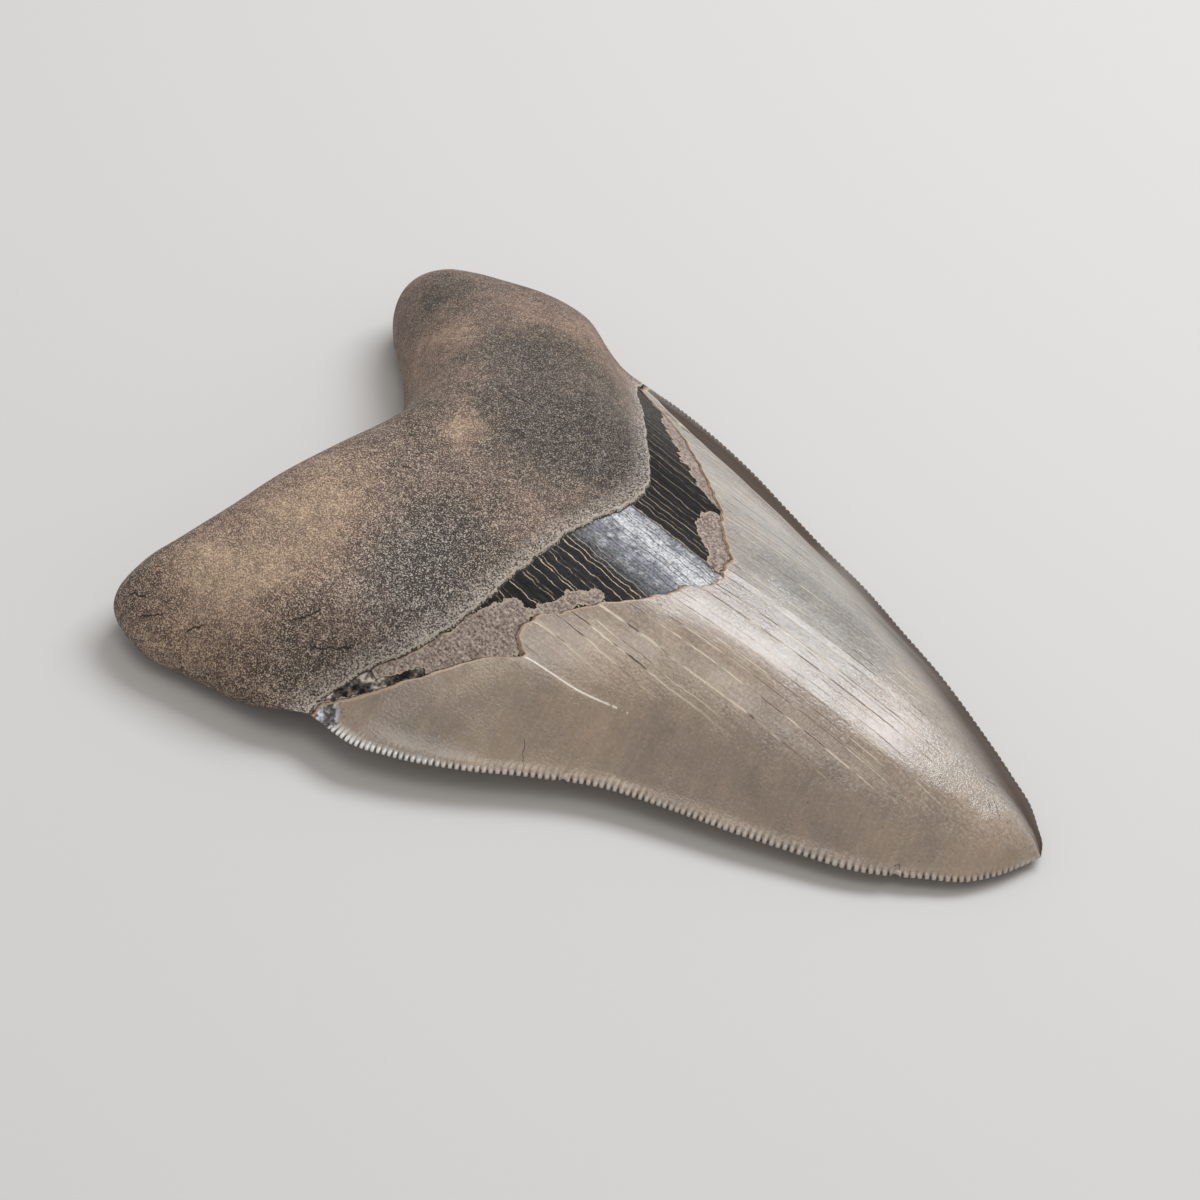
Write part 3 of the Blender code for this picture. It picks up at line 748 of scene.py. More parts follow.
class Finish:
    """A material under construction, with its nodes and its shader."""

    def __init__(self, name):
        self.material = bpy.data.materials.new(name)
        self.material.use_nodes = True
        self.tree = self.material.node_tree
        self.shader = self.tree.nodes["Principled BSDF"]

    def add(self, kind, inputs=(), operation=None, stops=(), out=0, **settings):
        """Adds a node with its settings and links, and gives one of its outputs.

        The inputs are given in order, or by number or name. A colour may be sRGB hex.
        """
        made = self.tree.nodes.new("ShaderNode" + kind)
        if operation:
            made.operation = operation
        for name, value in settings.items():
            setattr(made, name, value)
        for place, value in inputs.items() if isinstance(inputs, dict) else enumerate(inputs):
            if isinstance(value, bpy.types.NodeSocket):
                self.tree.links.new(value, made.inputs[place])
            else:
                made.inputs[place].default_value = linear(value) if isinstance(value, str) else value
        for number, (position, colour) in enumerate(stops):
            elements = made.color_ramp.elements
            stop = elements[number] if number < 2 else elements.new(position)
            stop.position = position
            stop.color = linear(colour) if isinstance(colour, str) else colour
        return made.outputs[out]

    def overlap(self, *masks):
        """How strongly all the masks hold at once: their product.

        Each is a value, or a value with the range that it is mapped from and to.
        """
        masks = [self.add("MapRange", mask) if isinstance(mask, tuple) else mask for mask in masks]
        whole = masks[0]
        for mask in masks[1:]:
            whole = self.add("Math", (whole, mask), "MULTIPLY")
        return whole

    def marks(self, place, lines):
        """How strongly each point lies on the listed short cracks, 0 to 1."""
        sway = self.add("TexNoise", {"Vector": place, "Scale": per_mm(1.3)}, out="Color")
        sway = self.add("VectorMath", (sway, (0.5, 0.5, 0.5)), "SUBTRACT")
        place = self.add("VectorMath", (sway, (MM, MM, 0), place), "MULTIPLY_ADD")
        total = 0
        for from_x, from_y, to_x, to_y, half in lines:
            start, end = to_frame(np.array([(from_x, from_y, 0), (to_x, to_y, 0)]))
            run = Vector(end - start)
            gap = self.add("VectorMath", (place, start), "SUBTRACT")
            gap = self.add("VectorMath", (gap, (1, 1, 0)), "MULTIPLY")
            share = self.add("VectorMath", (gap, run / run.length_squared), "DOT_PRODUCT", out="Value")
            share = self.add("Math", (share, 0), "ADD", use_clamp=True)
            reach = self.add("VectorMath", {0: run, "Scale": share}, "SCALE")
            gap = self.add("VectorMath", (gap, reach), "DISTANCE", out="Value")
            mark = self.add("MapRange", (gap, half * MM / 2, half * MM, 1, 0))
            total = self.add("Math", (mark, total), "MAXIMUM")
        return total

    def end(self, colour, coats, roughness, normal):
        """Lays the coats over the ground colour in turn, and links all to the shader.

        A coat is its colour and the masks that it shows through.
        """
        for coat, *masks in coats:
            where = self.overlap(*masks)
            colour = self.add("Mix", {0: where, 6: colour, 7: coat}, data_type="RGBA", out=2)
        for name, value in (("Base Color", colour), ("Roughness", roughness), ("Normal", normal)):
            self.tree.links.new(value, self.shader.inputs[name])
        return self.material


def per_mm(size):
    """A noise scale that gives features of this size in mm, on coordinates in metres."""
    return 1 / (size * MM)


def polished_enameloid(colours):
    """Fossil enameloid: apatite worn to a satin gloss, stained taupe, with fine cracks.

    It gives a smooth skin whose sharp highlight changes a little from crack to crack, a faint
    grain and long hairline cracks towards the tip, brown with a cream edge.
    """
    f = Finish("polished_fossil_enameloid")
    place = f.add("TexCoord", out="Object")
    along = f.add("SeparateXYZ", (place,), out="X")
    across, margin, edge, groove, cloud, ledge, crack, flange = (
        f.add("Attribute", attribute_name=name, out="Fac")
        for name in ("across", "margin_gap", "edge_gap", "groove", "cloud", "ledge", "crack", "flange")
    )
    # Noises: the size of what each gives in mm, its detail and its roughness
    broad, local, peel, sway, dash, lumps, patches = (
        f.add("TexNoise", {"Vector": place, "Scale": per_mm(size), "Detail": detail, "Roughness": rough})
        for size, detail, rough in (
            (26, 3, 0.55), (5, 5, 0.65), (0.5, 3, 0.6), (9, 4, 0.6), (7, 3, 0.5), (1.6, 4, 0.65),
            (9, 2, 0.5),
        )
    )

    # Colour: taupe, greyer and paler on the far side, with faint clouds 5 and 26 mm across
    broad = f.add("MapRange", (broad, 0.3, 0.7, -0.3, 0.3))
    local = f.add("MapRange", (local, 0.3, 0.7, -0.22, 0.22))
    tint = f.add("Math", (broad, local), "ADD")
    tint = f.add("Math", (cloud, 0.33, tint), "MULTIPLY_ADD")
    tint = f.add("MapRange", (tint, -0.8, 0.8))
    near_side = ((0, colours.enamel_dark), (1, colours.enamel_light), (0.5, colours.enamel))
    colour = f.add("ValToRGB", (tint,), stops=near_side)
    far_side = ((0, colours.far_dark), (1, colours.far_light), (0.5, colours.far_enamel))
    coats = [(f.add("ValToRGB", (tint,), stops=far_side), (across, -0.35, 0.25))]

    # Grain: fibres 0.5 mm apart, drawn twice as coarse as real ones so that they show, along
    # the crown's middle and square to the near cutting edge; and sparse dark pits
    middle = f.add("MapRange", (across, -0.78, -0.6))
    squeezed = f.add("VectorMath", (place, (0.05, 1, 0.3)), "MULTIPLY")
    fibre = f.add("TexNoise", {"Vector": squeezed, "Scale": per_mm(0.5), "Detail": 5, "Roughness": 0.75})
    squeezed = f.add("VectorMath", (place, (1, 0.06, 0.06)), "MULTIPLY")
    ribs = f.add("TexNoise", {"Vector": squeezed, "Scale": per_mm(0.7), "Detail": 4, "Roughness": 0.7})
    fibre = f.add("Mix", {0: middle, 2: ribs, 3: fibre})
    mottle = f.add("Mix", {0: 0.6, 2: fibre, 3: peel})
    plain = f.add("MapRange", (middle, 0, 1, 0.4, 1))
    coats += [
        ("5E5046", (mottle, 0.34, 0.5, 0.36, 0), plain),
        ("D6CCBE", (mottle, 0.5, 0.66, 0, 0.36), plain),
        ("3F332B", (peel, 0.27, 0.31, 0.5, 0)),
    ]

    # Cracks: each long one 0.2 mm wide, with a row of fainter ones between
    sway = f.add("Math", (sway, 0.5), "SUBTRACT")
    there = f.overlap((across, -0.7, -0.56), (across, 0.96, 0.9), (along, 68 * MM, 40 * MM))
    brown, cream = 0, 0
    for times, strays, half, faint in ((1.0, 0.22, 0.036, 0.22), (2.7, 0.9, 0.06, 0.5)):
        number = f.add("Math", (crack, times), "MULTIPLY")
        number = f.add("Math", (sway, strays, number), "MULTIPLY_ADD")
        whole = f.add("Math", (number,), "ROUND")
        offset = f.add("Math", (number, whole), "SUBTRACT")
        gap = f.add("Math", (offset,), "ABSOLUTE")
        chance = f.add("TexWhiteNoise", {"W": whole}, noise_dimensions="1D", out="Value")
        lane = f.add("Math", (whole, LANE_GAP), "MULTIPLY")
        lane = f.add("CombineXYZ", (along, lane))
        run = f.add("TexNoise", {"Vector": lane, "Scale": per_mm(16), "Detail": 4, "Roughness": 0.7})
        run = f.add("Math", (chance, 0.4, run), "MULTIPLY_ADD")
        run = f.overlap((run, faint + 0.22, faint + 0.38), there)
        line = f.overlap((gap, half * 0.6, half * 1.2, 1, 0), run)
        outside = f.add("Math", (offset, 0.0), "GREATER_THAN")
        edge_line = f.overlap((offset, half * 0.6, half * 2.2, 0.85, 0), run, outside)
        brown = f.add("Math", (line, brown), "MAXIMUM")
        cream = f.add("Math", (edge_line, cream), "MAXIMUM")
    dash = f.add("MapRange", (dash, 0.44, 0.54))
    filled = f.add("Mix", {0: dash, 6: colours.crack, 7: colours.vein}, data_type="RGBA", out=2)
    coats += [("C9B8A2", cream), (filled, brown)]

    # The ledge's edge has a painted highlight: a thin cream line that breaks up towards its end
    gap = f.add("Math", (ledge,), "ABSOLUTE")
    start = f.add("MapRange", (along, -7.6 * MM, -7 * MM))
    broken = f.add("MapRange", (along, 3 * MM, 14 * MM, 0, 0.75))
    broken = f.add("Math", (fibre, broken), "SUBTRACT")
    coats.append(("EDE3D3", (gap, 0.06, 0.18, 1, 0), start, (broken, -0.02, 0.1)))

    # The far flange is darkened brown outside its crease, partly a real stain and partly painted
    # shade, and more and more softly inside it with painted shade; the crease is a thin cream
    # line of painted highlight; there are a few short cracks near the tip
    stain_and_shade = f.overlap((flange, 0, 0.35), (along, 12 * MM, 30 * MM, 0.95, 0.3))
    soft = f.add("MapRange", (flange, -7, 2.5, 0, 0.9), interpolation_type="SMOOTHSTEP")
    soft = f.overlap(soft, (along, 0, 30 * MM, 0.2, 1))
    stain_and_shade = f.add("Math", (stain_and_shade, soft), "MAXIMUM")
    soft = f.add("MapRange", (flange, -14, -3, 0, 0.95), interpolation_type="SMOOTHSTEP")
    soft = f.overlap(soft, (across, 0.05, 0.4), (along, 10 * MM, 50 * MM, 0.1, 1))
    stain_and_shade = f.add("Math", (stain_and_shade, soft), "MAXIMUM")
    gap = f.add("Math", (flange, 0.1), "ADD")
    gap = f.add("Math", (gap,), "ABSOLUTE")
    coats += [
        (colours.stain_and_shade, stain_and_shade),
        ("CFC0AC", (gap, 0.08, 0.22, 0.8, 0), (along, 5 * MM, 24 * MM, 1, 0)),
        ("3B2C22", f.marks(place, ENAMEL_MARKS), 0.7),
    ]

    # The margin is a ragged cream line, about 0.5 mm wide
    ragged = f.add("MapRange", (peel, 0.3, 0.7, -0.3, 0.3))
    ragged = f.add("Math", (margin, ragged), "ADD")
    coats.append(("BBA084", (ragged, 0.3, 0.5, 0.85, 0)))

    # The points of the serrations are cream, partly their own pale enamel and partly a painted
    # highlight on their rounded tops; their grooves are darkened with painted shade
    shorter = f.add("MapRange", (along, -24 * MM, 6 * MM, 1, 2.2))
    point = f.add("Math", (edge, shorter), "MULTIPLY")
    # How white and strong the points' pale enamel and painted highlight are, most near the shoulders
    worn = f.add("MapRange", (along, -24 * MM, 4 * MM, 0.95, 0.55))
    tips = f.add("Mix", {0: worn, 6: "8E7C69", 7: "EAE6DF"}, data_type="RGBA", out=2)
    coats += [
        (tips, (point, 0.3, 2.2, 1, 0), (across, 0.1, 0, 0.2, 1), worn),
        ("3A2F27", (groove, 0.05, 0.5, 0, 0.9)),
    ]

    # The near corner is chipped down to black and grey glassy bits; their white and pale
    # blue-grey spots are painted reflections
    greys = ((0.4, "1B191A"), (0.6, "D9DBDD"), (0.48, "5E5A58"), (0.54, "9AA0A4"))
    bits = f.add("ValToRGB", (lumps,), stops=greys)
    corner = to_frame(np.array(NEAR_CORNER))
    reach = f.add("VectorMath", (place, corner), "DISTANCE", out="Value")
    reach = f.add("Math", (lumps, 5 * MM, reach), "MULTIPLY_ADD")
    coats.append((bits, (reach, 5.4 * MM, 6.4 * MM, 0.9, 0)))

    # Relief: each strip between two cracks tilts by up to about 2 degrees; the skin is finely
    # pebbled, 0.5 mm across, more in some places than in others; the cracks are cut in
    strip = f.add("Math", (sway, 0.22, crack), "MULTIPLY_ADD")
    below = f.add("Math", (strip,), "FLOOR")
    slope = f.add("TexWhiteNoise", {"W": below}, noise_dimensions="1D", out="Value")
    slope = f.add("MapRange", (slope, 0, 1, -0.11 * MM, 0.11 * MM))
    strip = f.add("Math", (strip, below), "SUBTRACT")
    strip = f.overlap(strip, slope, there)
    facet = f.add("Bump", {"Strength": 1, "Distance": 1, "Height": strip})
    pebbles = f.overlap(peel, (patches, 0.42, 0.6, 0.3, 1.5))
    skin = f.add("Bump", {"Strength": 1, "Distance": 0.07 * MM, "Height": pebbles, "Normal": facet})
    skin = f.add("Bump", {"Strength": 1, "Distance": 0.03 * MM, "Height": fibre, "Normal": skin})
    cut = f.add("Math", (1.0, brown), "SUBTRACT")
    bump = f.add("Bump", {"Strength": 0.6, "Distance": 0.05 * MM, "Height": cut, "Normal": skin})
    roughness = f.add("MapRange", (local, -0.22, 0.22, 0.08, 0.15))
    roughness = f.add("Math", (brown, 0.5, roughness), "MULTIPLY_ADD")
    roughness = f.add("Math", (stain_and_shade, 0.8, roughness), "MULTIPLY_ADD")
    f.shader.inputs["IOR"].default_value = 1.62
    return f.end(colour, coats, roughness, bump)


def dark_band(colours):
    """Bourlette: bare dark dentine where the enameloid stops, near black, glossy and cracked.

    It gives wavy cream hairlines towards the tip and pale matt flakes with dark ragged edges.
    """
    f = Finish("glossy_black_bourlette")
    place = f.add("TexCoord", out="Object")
    across, margin, flake = (
        f.add("Attribute", attribute_name=name, out="Fac") for name in ("across", "margin_gap", "flake")
    )
    # Noises: the size of what each gives in mm, its detail and its roughness
    sway, grain, lumps, ragged = (
        f.add("TexNoise", {"Vector": place, "Scale": per_mm(size), "Detail": detail, "Roughness": rough})
        for size, detail, rough in ((4, 4, 0.6), (0.45, 3, 0.7), (2.2, 4, 0.65), (3, 6, 0.6))
    )

    # Near black, with streaks 0.45 mm apart that run towards the tip and a little across
    along, sideways = (f.add("SeparateXYZ", (place,), out=axis) for axis in "XY")
    slant = f.add("Math", (along, 0.17, sideways), "MULTIPLY_ADD")
    slant = f.add("Math", (sway, 1.8 * MM, slant), "MULTIPLY_ADD")
    stretched = f.add("Math", (along, 0.08), "MULTIPLY")
    stretched = f.add("CombineXYZ", (stretched, slant))
    streak = f.add("TexNoise", {"Vector": stretched, "Scale": per_mm(0.45), "Detail": 3, "Roughness": 0.7})
    blacks = ((0.36, "070607"), (0.68, colours.band_streak), (0.5, colours.band))
    colour = f.add("ValToRGB", (streak,), stops=blacks)

    # Hairlines 1.2 mm apart and 0.2 mm wide from the root to the enamel
    number = f.add("Math", (slant, 1.2 * MM), "DIVIDE")
    whole = f.add("Math", (number,), "ROUND")
    gap = f.add("Math", (number, whole), "SUBTRACT")
    chance = f.add("TexWhiteNoise", {"W": whole}, noise_dimensions="1D", out="Value")
    uneven = f.add("MapRange", (chance, 0, 1, -0.36, 0.36))
    gap = f.add("Math", (gap, uneven), "SUBTRACT")
    gap = f.add("Math", (gap,), "ABSOLUTE")
    thick = f.add("MapRange", (across, -0.4, 0.3, 0.085, 0.06))
    line = f.add("Math", (gap, thick), "DIVIDE")
    line = f.add("MapRange", (line, 0.45, 1, 1, 0))
    apart = f.add("Math", (whole, LANE_GAP), "MULTIPLY")
    lane = f.add("CombineXYZ", (along, apart))
    breaks = f.add("TexNoise", {"Vector": lane, "Scale": per_mm(3), "Detail": 4, "Roughness": 0.7})
    luck = f.add("TexWhiteNoise", {"W": apart}, noise_dimensions="1D", out="Value")
    reach = f.add("Math", (luck, 0.35, breaks), "MULTIPLY_ADD")
    shown = f.overlap((reach, 0.54, 0.76, 0.05, 1.0), (across, 0.0, 0.4, 1, 0.65))
    pale = f.overlap(line, shown)

    # Lumps of black, grey and white near the corner, where the band is narrow; the black and
    # grey are their own, the white is painted reflection on the glossy lumps
    greys = ((0.4, "121112"), (0.62, "CFC3B4"), (0.5, "57504B"), (0.55, "8B7D70"))
    lump = f.add("ValToRGB", (lumps,), stops=greys)

    # Flakes: the listed patches and a strip along the margin, with ragged edges
    strip = f.add("Math", (margin, 0.55), "ADD")
    depth = f.add("Math", (flake, strip), "MAXIMUM")
    ragged = f.add("MapRange", (ragged, 0, 1, -2.6, 2.6))
    depth = f.add("Math", (depth, ragged), "ADD")
    flaked = f.add("MapRange", (depth, 0, 0.1))
    rim = f.add("MapRange", (depth, -0.25, 0, 0, 0.8))
    shell = f.add("MapRange", (depth, 0.25, 0.5, 0.7, 0))
    crust = f.add("Mix", {0: 0.25, 2: grain, 3: streak})
    shades = ((0.36, "4E423A"), (0.66, "CDBDAF"), (0.5, colours.flake))
    crust = f.add("ValToRGB", (crust,), stops=shades)
    crust = f.add("Mix", {0: shell, 6: crust, 7: "C2AE97"}, data_type="RGBA", out=2)

    # A cream line where the enamel begins, with a dark line of painted shade beside it, below the
    # enamel's step
    fray = f.add("MapRange", (grain, 0.3, 0.7, -0.2, 0.2))
    fringe = f.add("Math", (margin, fray), "ADD")

    # Polished across the middle of the band, where a blue-white haze is a painted highlight, and
    # satin elsewhere
    speck = f.add("Mix", {0: 0.4, 2: grain, 3: streak})
    near_side = f.add("Math", (speck, 9 * MM, slant), "MULTIPLY_ADD")
    bare = f.add("Math", (1, rim), "SUBTRACT")
    # Where the band is polished; this also places its painted highlight
    worn = f.overlap((slant, 6.0 * MM, 5.4 * MM), (near_side, -3.5 * MM, 1.5 * MM), bare)
    middle = f.add("Math", (slant, 2.2 * MM), "SUBTRACT")
    middle = f.add("Math", (middle,), "ABSOLUTE")
    middle = f.add("MapRange", (middle, 0, 4.5 * MM, 0.25, 0))
    core = f.add("Math", (middle, lumps), "ADD")
    core = f.add("MapRange", (core, 0.5, 0.72))
    band_highlight = f.add("Mix", {0: core, 6: "8E9198", 7: colours.band_highlight}, data_type="RGBA", out=2)
    crossing = f.overlap(line, worn, 0.85)
    coats = [
        (colours.hairline, pale),
        (lump, (across, -0.74, -0.8)),
        ("0B0A0B", rim),
        (crust, flaked),
        ("2B211B", (fringe, -0.75, -0.55, 0, 0.8)),
        ("B59C83", (fringe, -0.5, -0.35, 0, 0.8)),
        (band_highlight, (speck, 0.33, 0.56, 0, 0.85), worn),
        ("4A3A2E", crossing),
    ]
    satin = f.add("MapRange", (grain, 0.4, 0.6, 0.4, 0.6))
    polish = f.add("MapRange", (grain, 0.4, 0.6, 0.1, 0.26))
    roughness = f.add("Mix", {0: worn, 2: satin, 3: polish})
    roughness = f.add("Mix", {0: flaked, 2: roughness, 3: 0.8})
    roughness = f.add("Math", (pale, 0.3, roughness), "MULTIPLY_ADD")
    roughness = f.add("Math", (crossing, 0.6, roughness), "MULTIPLY_ADD")

    # Relief: the grain and the streaks, raised flakes and raised hairlines
    bump = f.add("Bump", {"Strength": 1.0, "Distance": 0.05 * MM, "Height": grain})
    for strength, height, pattern in ((1.0, 0.04, streak), (1.0, 0.25, flaked), (0.6, 0.1, pale)):
        relief = {"Strength": strength, "Distance": height * MM, "Height": pattern, "Normal": bump}
        bump = f.add("Bump", relief)
    f.shader.inputs["IOR"].default_value = 1.55
    f.shader.inputs["Specular IOR Level"].default_value = 0.14
    return f.end(colour, coats, roughness, bump)


def porous_dentine(colours):
    """Fossil root dentine: worn, matt and porous, stained grey-brown.

    It gives a sandy speckle of cream and near-black grains about 0.25 mm across, partly the
    dentine's own and partly the painted glints and painted shade of its porous relief, under
    broad tan and grey clouds.
    """
    f = Finish("porous_fossil_dentine")
    place = f.add("TexCoord", out="Object")
    sideways = f.add("SeparateXYZ", (place,), out="Y")
    border, cloud = (
        f.add("Attribute", attribute_name=name, out="Fac") for name in ("border_gap", "cloud")
    )
    # Noises: the size of what each gives in mm, its detail and its roughness
    broad, local, grain, cluster, furrow, fibres, lumps = (
        f.add("TexNoise", {"Vector": place, "Scale": per_mm(size), "Detail": detail, "Roughness": rough})
        for size, detail, rough in (
            (22, 4, 0.6), (5, 3, 0.6), (0.25, 2, 0.6), (1.2, 3, 0.6), (0.55, 2, 0.6), (0.34, 2, 0.6),
            (3, 4, 0.65),
        )
    )

    # Colour: broad tan and grey clouds, with smaller ones among them
    broad = f.add("MapRange", (broad, 0.3, 0.7, -0.6, 0.6))
    tint = f.add("Math", (cloud, 0.7, broad), "MULTIPLY_ADD")
    local = f.add("MapRange", (local, 0.3, 0.7, -0.25, 0.25))
    tint = f.add("Math", (tint, local), "ADD")
    tint = f.add("MapRange", (tint, -1.0, 1.0))
    ends = ((0, colours.root_dark), (1, colours.root_tan))
    between = ((0.35, colours.root_grey), (0.65, colours.root_brown))
    colour = f.add("ValToRGB", (tint,), stops=ends + between)

    # Grains about 0.25 mm across, gathered in clusters of 1.2 mm: black pores and pale crumbs,
    # with a maze of fine dark furrows between them, all stronger on the near side. They are partly
    # the dentine's own speckle and partly its relief's light and shade: painted glints on the
    # crumbs, whitest on the near side, and painted shade in the pores and furrows
    grain = f.add("Math", (cluster, 0.3, grain), "MULTIPLY_ADD")
    dark = f.add("MapRange", (grain, 0.64, 0.56, 0, 0.8))
    furrow = f.add("Math", (furrow, 0.5), "SUBTRACT")
    furrow = f.add("Math", (furrow,), "ABSOLUTE")
    furrow = f.add("MapRange", (furrow, 0.008, 0.045, 0.85, 0))
    dark = f.add("Math", (dark, furrow), "MAXIMUM")
    strong = f.add("MapRange", (sideways, 35 * MM, -30 * MM, 0.55, 1.0))
    cold = f.add("MapRange", (cloud, 0.6, -0.9))
    chalky_and_glinting = f.add("MapRange", (sideways, 0, -25 * MM))
    chalk_and_glint = f.add("Mix", {0: chalky_and_glinting, 6: "BDAE9C", 7: "CDC2B4"}, data_type="RGBA", out=2)
    crumb_and_glint = f.add("Mix", {0: cold, 6: colours.crumb_and_glint, 7: chalk_and_glint}, data_type="RGBA", out=2)
    coats = [
        (crumb_and_glint, (grain, 0.665, 0.745, 0, 0.95), strong),
        ("241C17", dark, strong, (cloud, 0, 1, 1, 0.7)),
        ("15100D", f.marks(place, ROOT_MARKS), 0.85),
    ]

    # The border: a step darkened with painted shade, a ragged cream edge 0.3 mm wide, and pale
    # fibres for 4 mm behind
    fray = f.add("MapRange", (fibres, 0.3, 0.7, -0.22, 0.22))
    fray = f.add("Math", (border, fray), "ADD")
    coats += [
        ("D5CBBF", (fibres, 0.48, 0.58), (border, 0.3, 4.5, 0.9, 0)),
        ("CDBDAA", (fray, 0.38, 0.6, 0.85, 0)),
        ("1D1814", (fray, 0.16, 0.26, 0.9, 0)),
    ]
    roughness = f.add("MapRange", (cold, 0, 1, 0.75, 0.55))
    swell = f.add("Bump", {"Strength": 0.6, "Distance": 0.35 * MM, "Height": lumps})
    height = f.add("Math", (furrow, -0.3, grain), "MULTIPLY_ADD")
    bump = f.add("Bump", {"Strength": 1.0, "Distance": 0.2 * MM, "Height": height, "Normal": swell})
    f.shader.inputs["IOR"].default_value = 1.5
    return f.end(colour, coats, roughness, bump)


# ---- what a user may change ------------------------------------------------------------------
def millimetres(name, description, default, most, least=0):
    """A small length that a user may change, from its default and its limits in mm."""
    return FloatProperty(
        name=name, description=description, default=default * MM, min=least * MM, max=most * MM,
        unit="LENGTH", precision=5,
    )


class ToothSizes(bpy.types.PropertyGroup):
    """Sizes of the tooth's fine relief."""

    serration_pitch: millimetres(
        "Serration pitch", "Distance from one notch to the next", 1.12, most=3, least=0.8
    )
    serration_depth: millimetres(
        "Serration depth", "How far a notch cuts into the cutting edge", 0.45, most=0.6
    )
    notch_sharpness: FloatProperty(
        name="Notch sharpness", description="Above 1, notches narrower than the points between",
        default=3, min=1, max=8,
    )
    groove_depth: millimetres("Groove depth", "Depth of the groove behind each notch", 0.34, most=0.5)
    bead_height: millimetres("Rim thickness", "How much the rounded rim thickens each face", 0.26, most=0.5)
    ledge_height: millimetres("Ledge height", "Height of the low ledge in the enamel", 0.22, most=1)
    band_depth: millimetres("Band depth", "How far the dark band lies below the enamel", 0.38, most=1)
    root_lip: millimetres("Root lip", "How far the root stands proud of the dark band", 0.32, most=1.5)
    smooth_angle: FloatProperty(
        name="Smooth angle", description="Edges sharper than this keep a crease",
        default=0.9, min=0, max=3.1, subtype="ANGLE",
    )


def hue(name, description, default):
    """A colour that a user may change, with its default as sRGB hex."""
    return FloatVectorProperty(
        name=name, description=description, default=linear(default),
        size=4, min=0, max=1, subtype="COLOR",
    )


class ToothColours(bpy.types.PropertyGroup):
    """Colours of the enamel, the dark band and the root."""

    enamel_dark: hue("Enamel, dark", "Darkest clouds of the near side", "71675D")
    enamel: hue("Enamel", "Main colour of the near side", "9A8774")
    enamel_light: hue("Enamel, light", "Palest clouds of the near side", "BBA085")
    far_dark: hue("Far enamel, dark", "Darkest clouds of the far side", "83807D")
    far_enamel: hue("Far enamel", "Main colour of the far side", "A19A91")
    far_light: hue("Far enamel, light", "Palest clouds of the far side", "B5A593")
    # Partly a real brown stain and partly painted shade along the far cutting edge
    stain_and_shade: hue("Stain", "Brown stain along the far cutting edge", "3A2410")
    crack: hue("Crack", "Dark stretches of the enamel's cracks", "59402F")
    vein: hue("Filled crack", "Pale stretches of the enamel's cracks", "DCCBB2")
    band: hue("Band", "Main colour of the dark band", "131112")
    band_streak: hue("Band streaks", "Palest streaks of the dark band", "2C2826")
    hairline: hue("Hairlines", "Pale hairline cracks in the dark band", "D3BC9E")
    # A painted highlight: the main light's reflection on the band's polished middle
    band_highlight: hue("Bloom", "Haze on the band's polished middle", "ECECEE")
    flake: hue("Flakes", "Thin flakes left on the dark band", "95857A")
    root_dark: hue("Root, dark", "Darkest clouds of the root", "392F27")
    root_grey: hue("Root, grey", "Darker clouds of the root", "5E5144")
    root_brown: hue("Root, brown", "Lighter clouds of the root", "93796A")
    root_tan: hue("Root, tan", "Palest clouds of the root", "CDAF93")
    # Partly the root's own pale grains and partly painted glints on them
    crumb_and_glint: hue("Root crumbs", "Pale grains of the root", "D6B99B")


class StageSettings(bpy.types.PropertyGroup):
    """The camera, the floor and the lights."""

    azimuth: FloatProperty(
        name="Camera azimuth", description="How far the camera stands round to the tip's side",
        default=radians(22), subtype="ANGLE",
    )
    elevation: FloatProperty(
        name="Camera elevation", description="How high the camera stands above the floor",
        default=radians(44.5), min=0, max=radians(89), subtype="ANGLE",
    )
    roll: FloatProperty(
        name="Camera roll", description="How far the camera is turned about its own line of sight",
        default=radians(12.6), subtype="ANGLE",
    )
    distance: FloatProperty(
        name="Camera distance", description="From the camera to the crown's middle",
        default=0.7, min=0.2, max=5, unit="LENGTH",
    )
    lens: FloatProperty(
        name="Focal length", description="Focal length on a sensor 36 mm wide",
        default=127.68, min=20, max=400, unit="CAMERA",
    )
    softbox: FloatProperty(
        name="Softbox", description="Brightness of the main light, as radiance", default=7.4, min=0,
    )
    overhead: FloatProperty(
        name="Overhead light", description="Brightness of the fill light, as radiance",
        default=2.4, min=0,
    )
    room: FloatProperty(
        name="Room light", description="Brightness of the even light all round", default=0.5, min=0,
    )
    floor: hue("Floor", "Colour of the studio paper", "D2CFCA")


# ---- operators ---------------------------------------------------------------------------------
class TOOTH_OT_model(bpy.types.Operator):
    """Models the tooth over its solid and gives it its finishes"""

    bl_idname = "tooth.model"
    bl_label = "Model the tooth"
    bl_options = {"REGISTER", "UNDO"}

    def execute(self, context):
        colours = context.scene.tooth_colours
        finishes = [polished_enameloid(colours), dark_band(colours), porous_dentine(colours)]
        tooth = model_tooth(context.scene.tooth_sizes, finishes)
        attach(tooth, "root")
        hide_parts(NODE)
        return {"FINISHED"}


class TOOTH_OT_stage(bpy.types.Operator):
    """Sets the pale floor, the soft lights and the camera"""

    bl_idname = "tooth.stage"
    bl_label = "Set the stage"
    bl_options = {"REGISTER", "UNDO"}

    def execute(self, context):
        stage = context.scene.tooth_stage
        lay_floor(stage)
        set_lights(context.scene, stage)
        set_camera(context.scene, stage)
        return {"FINISHED"}


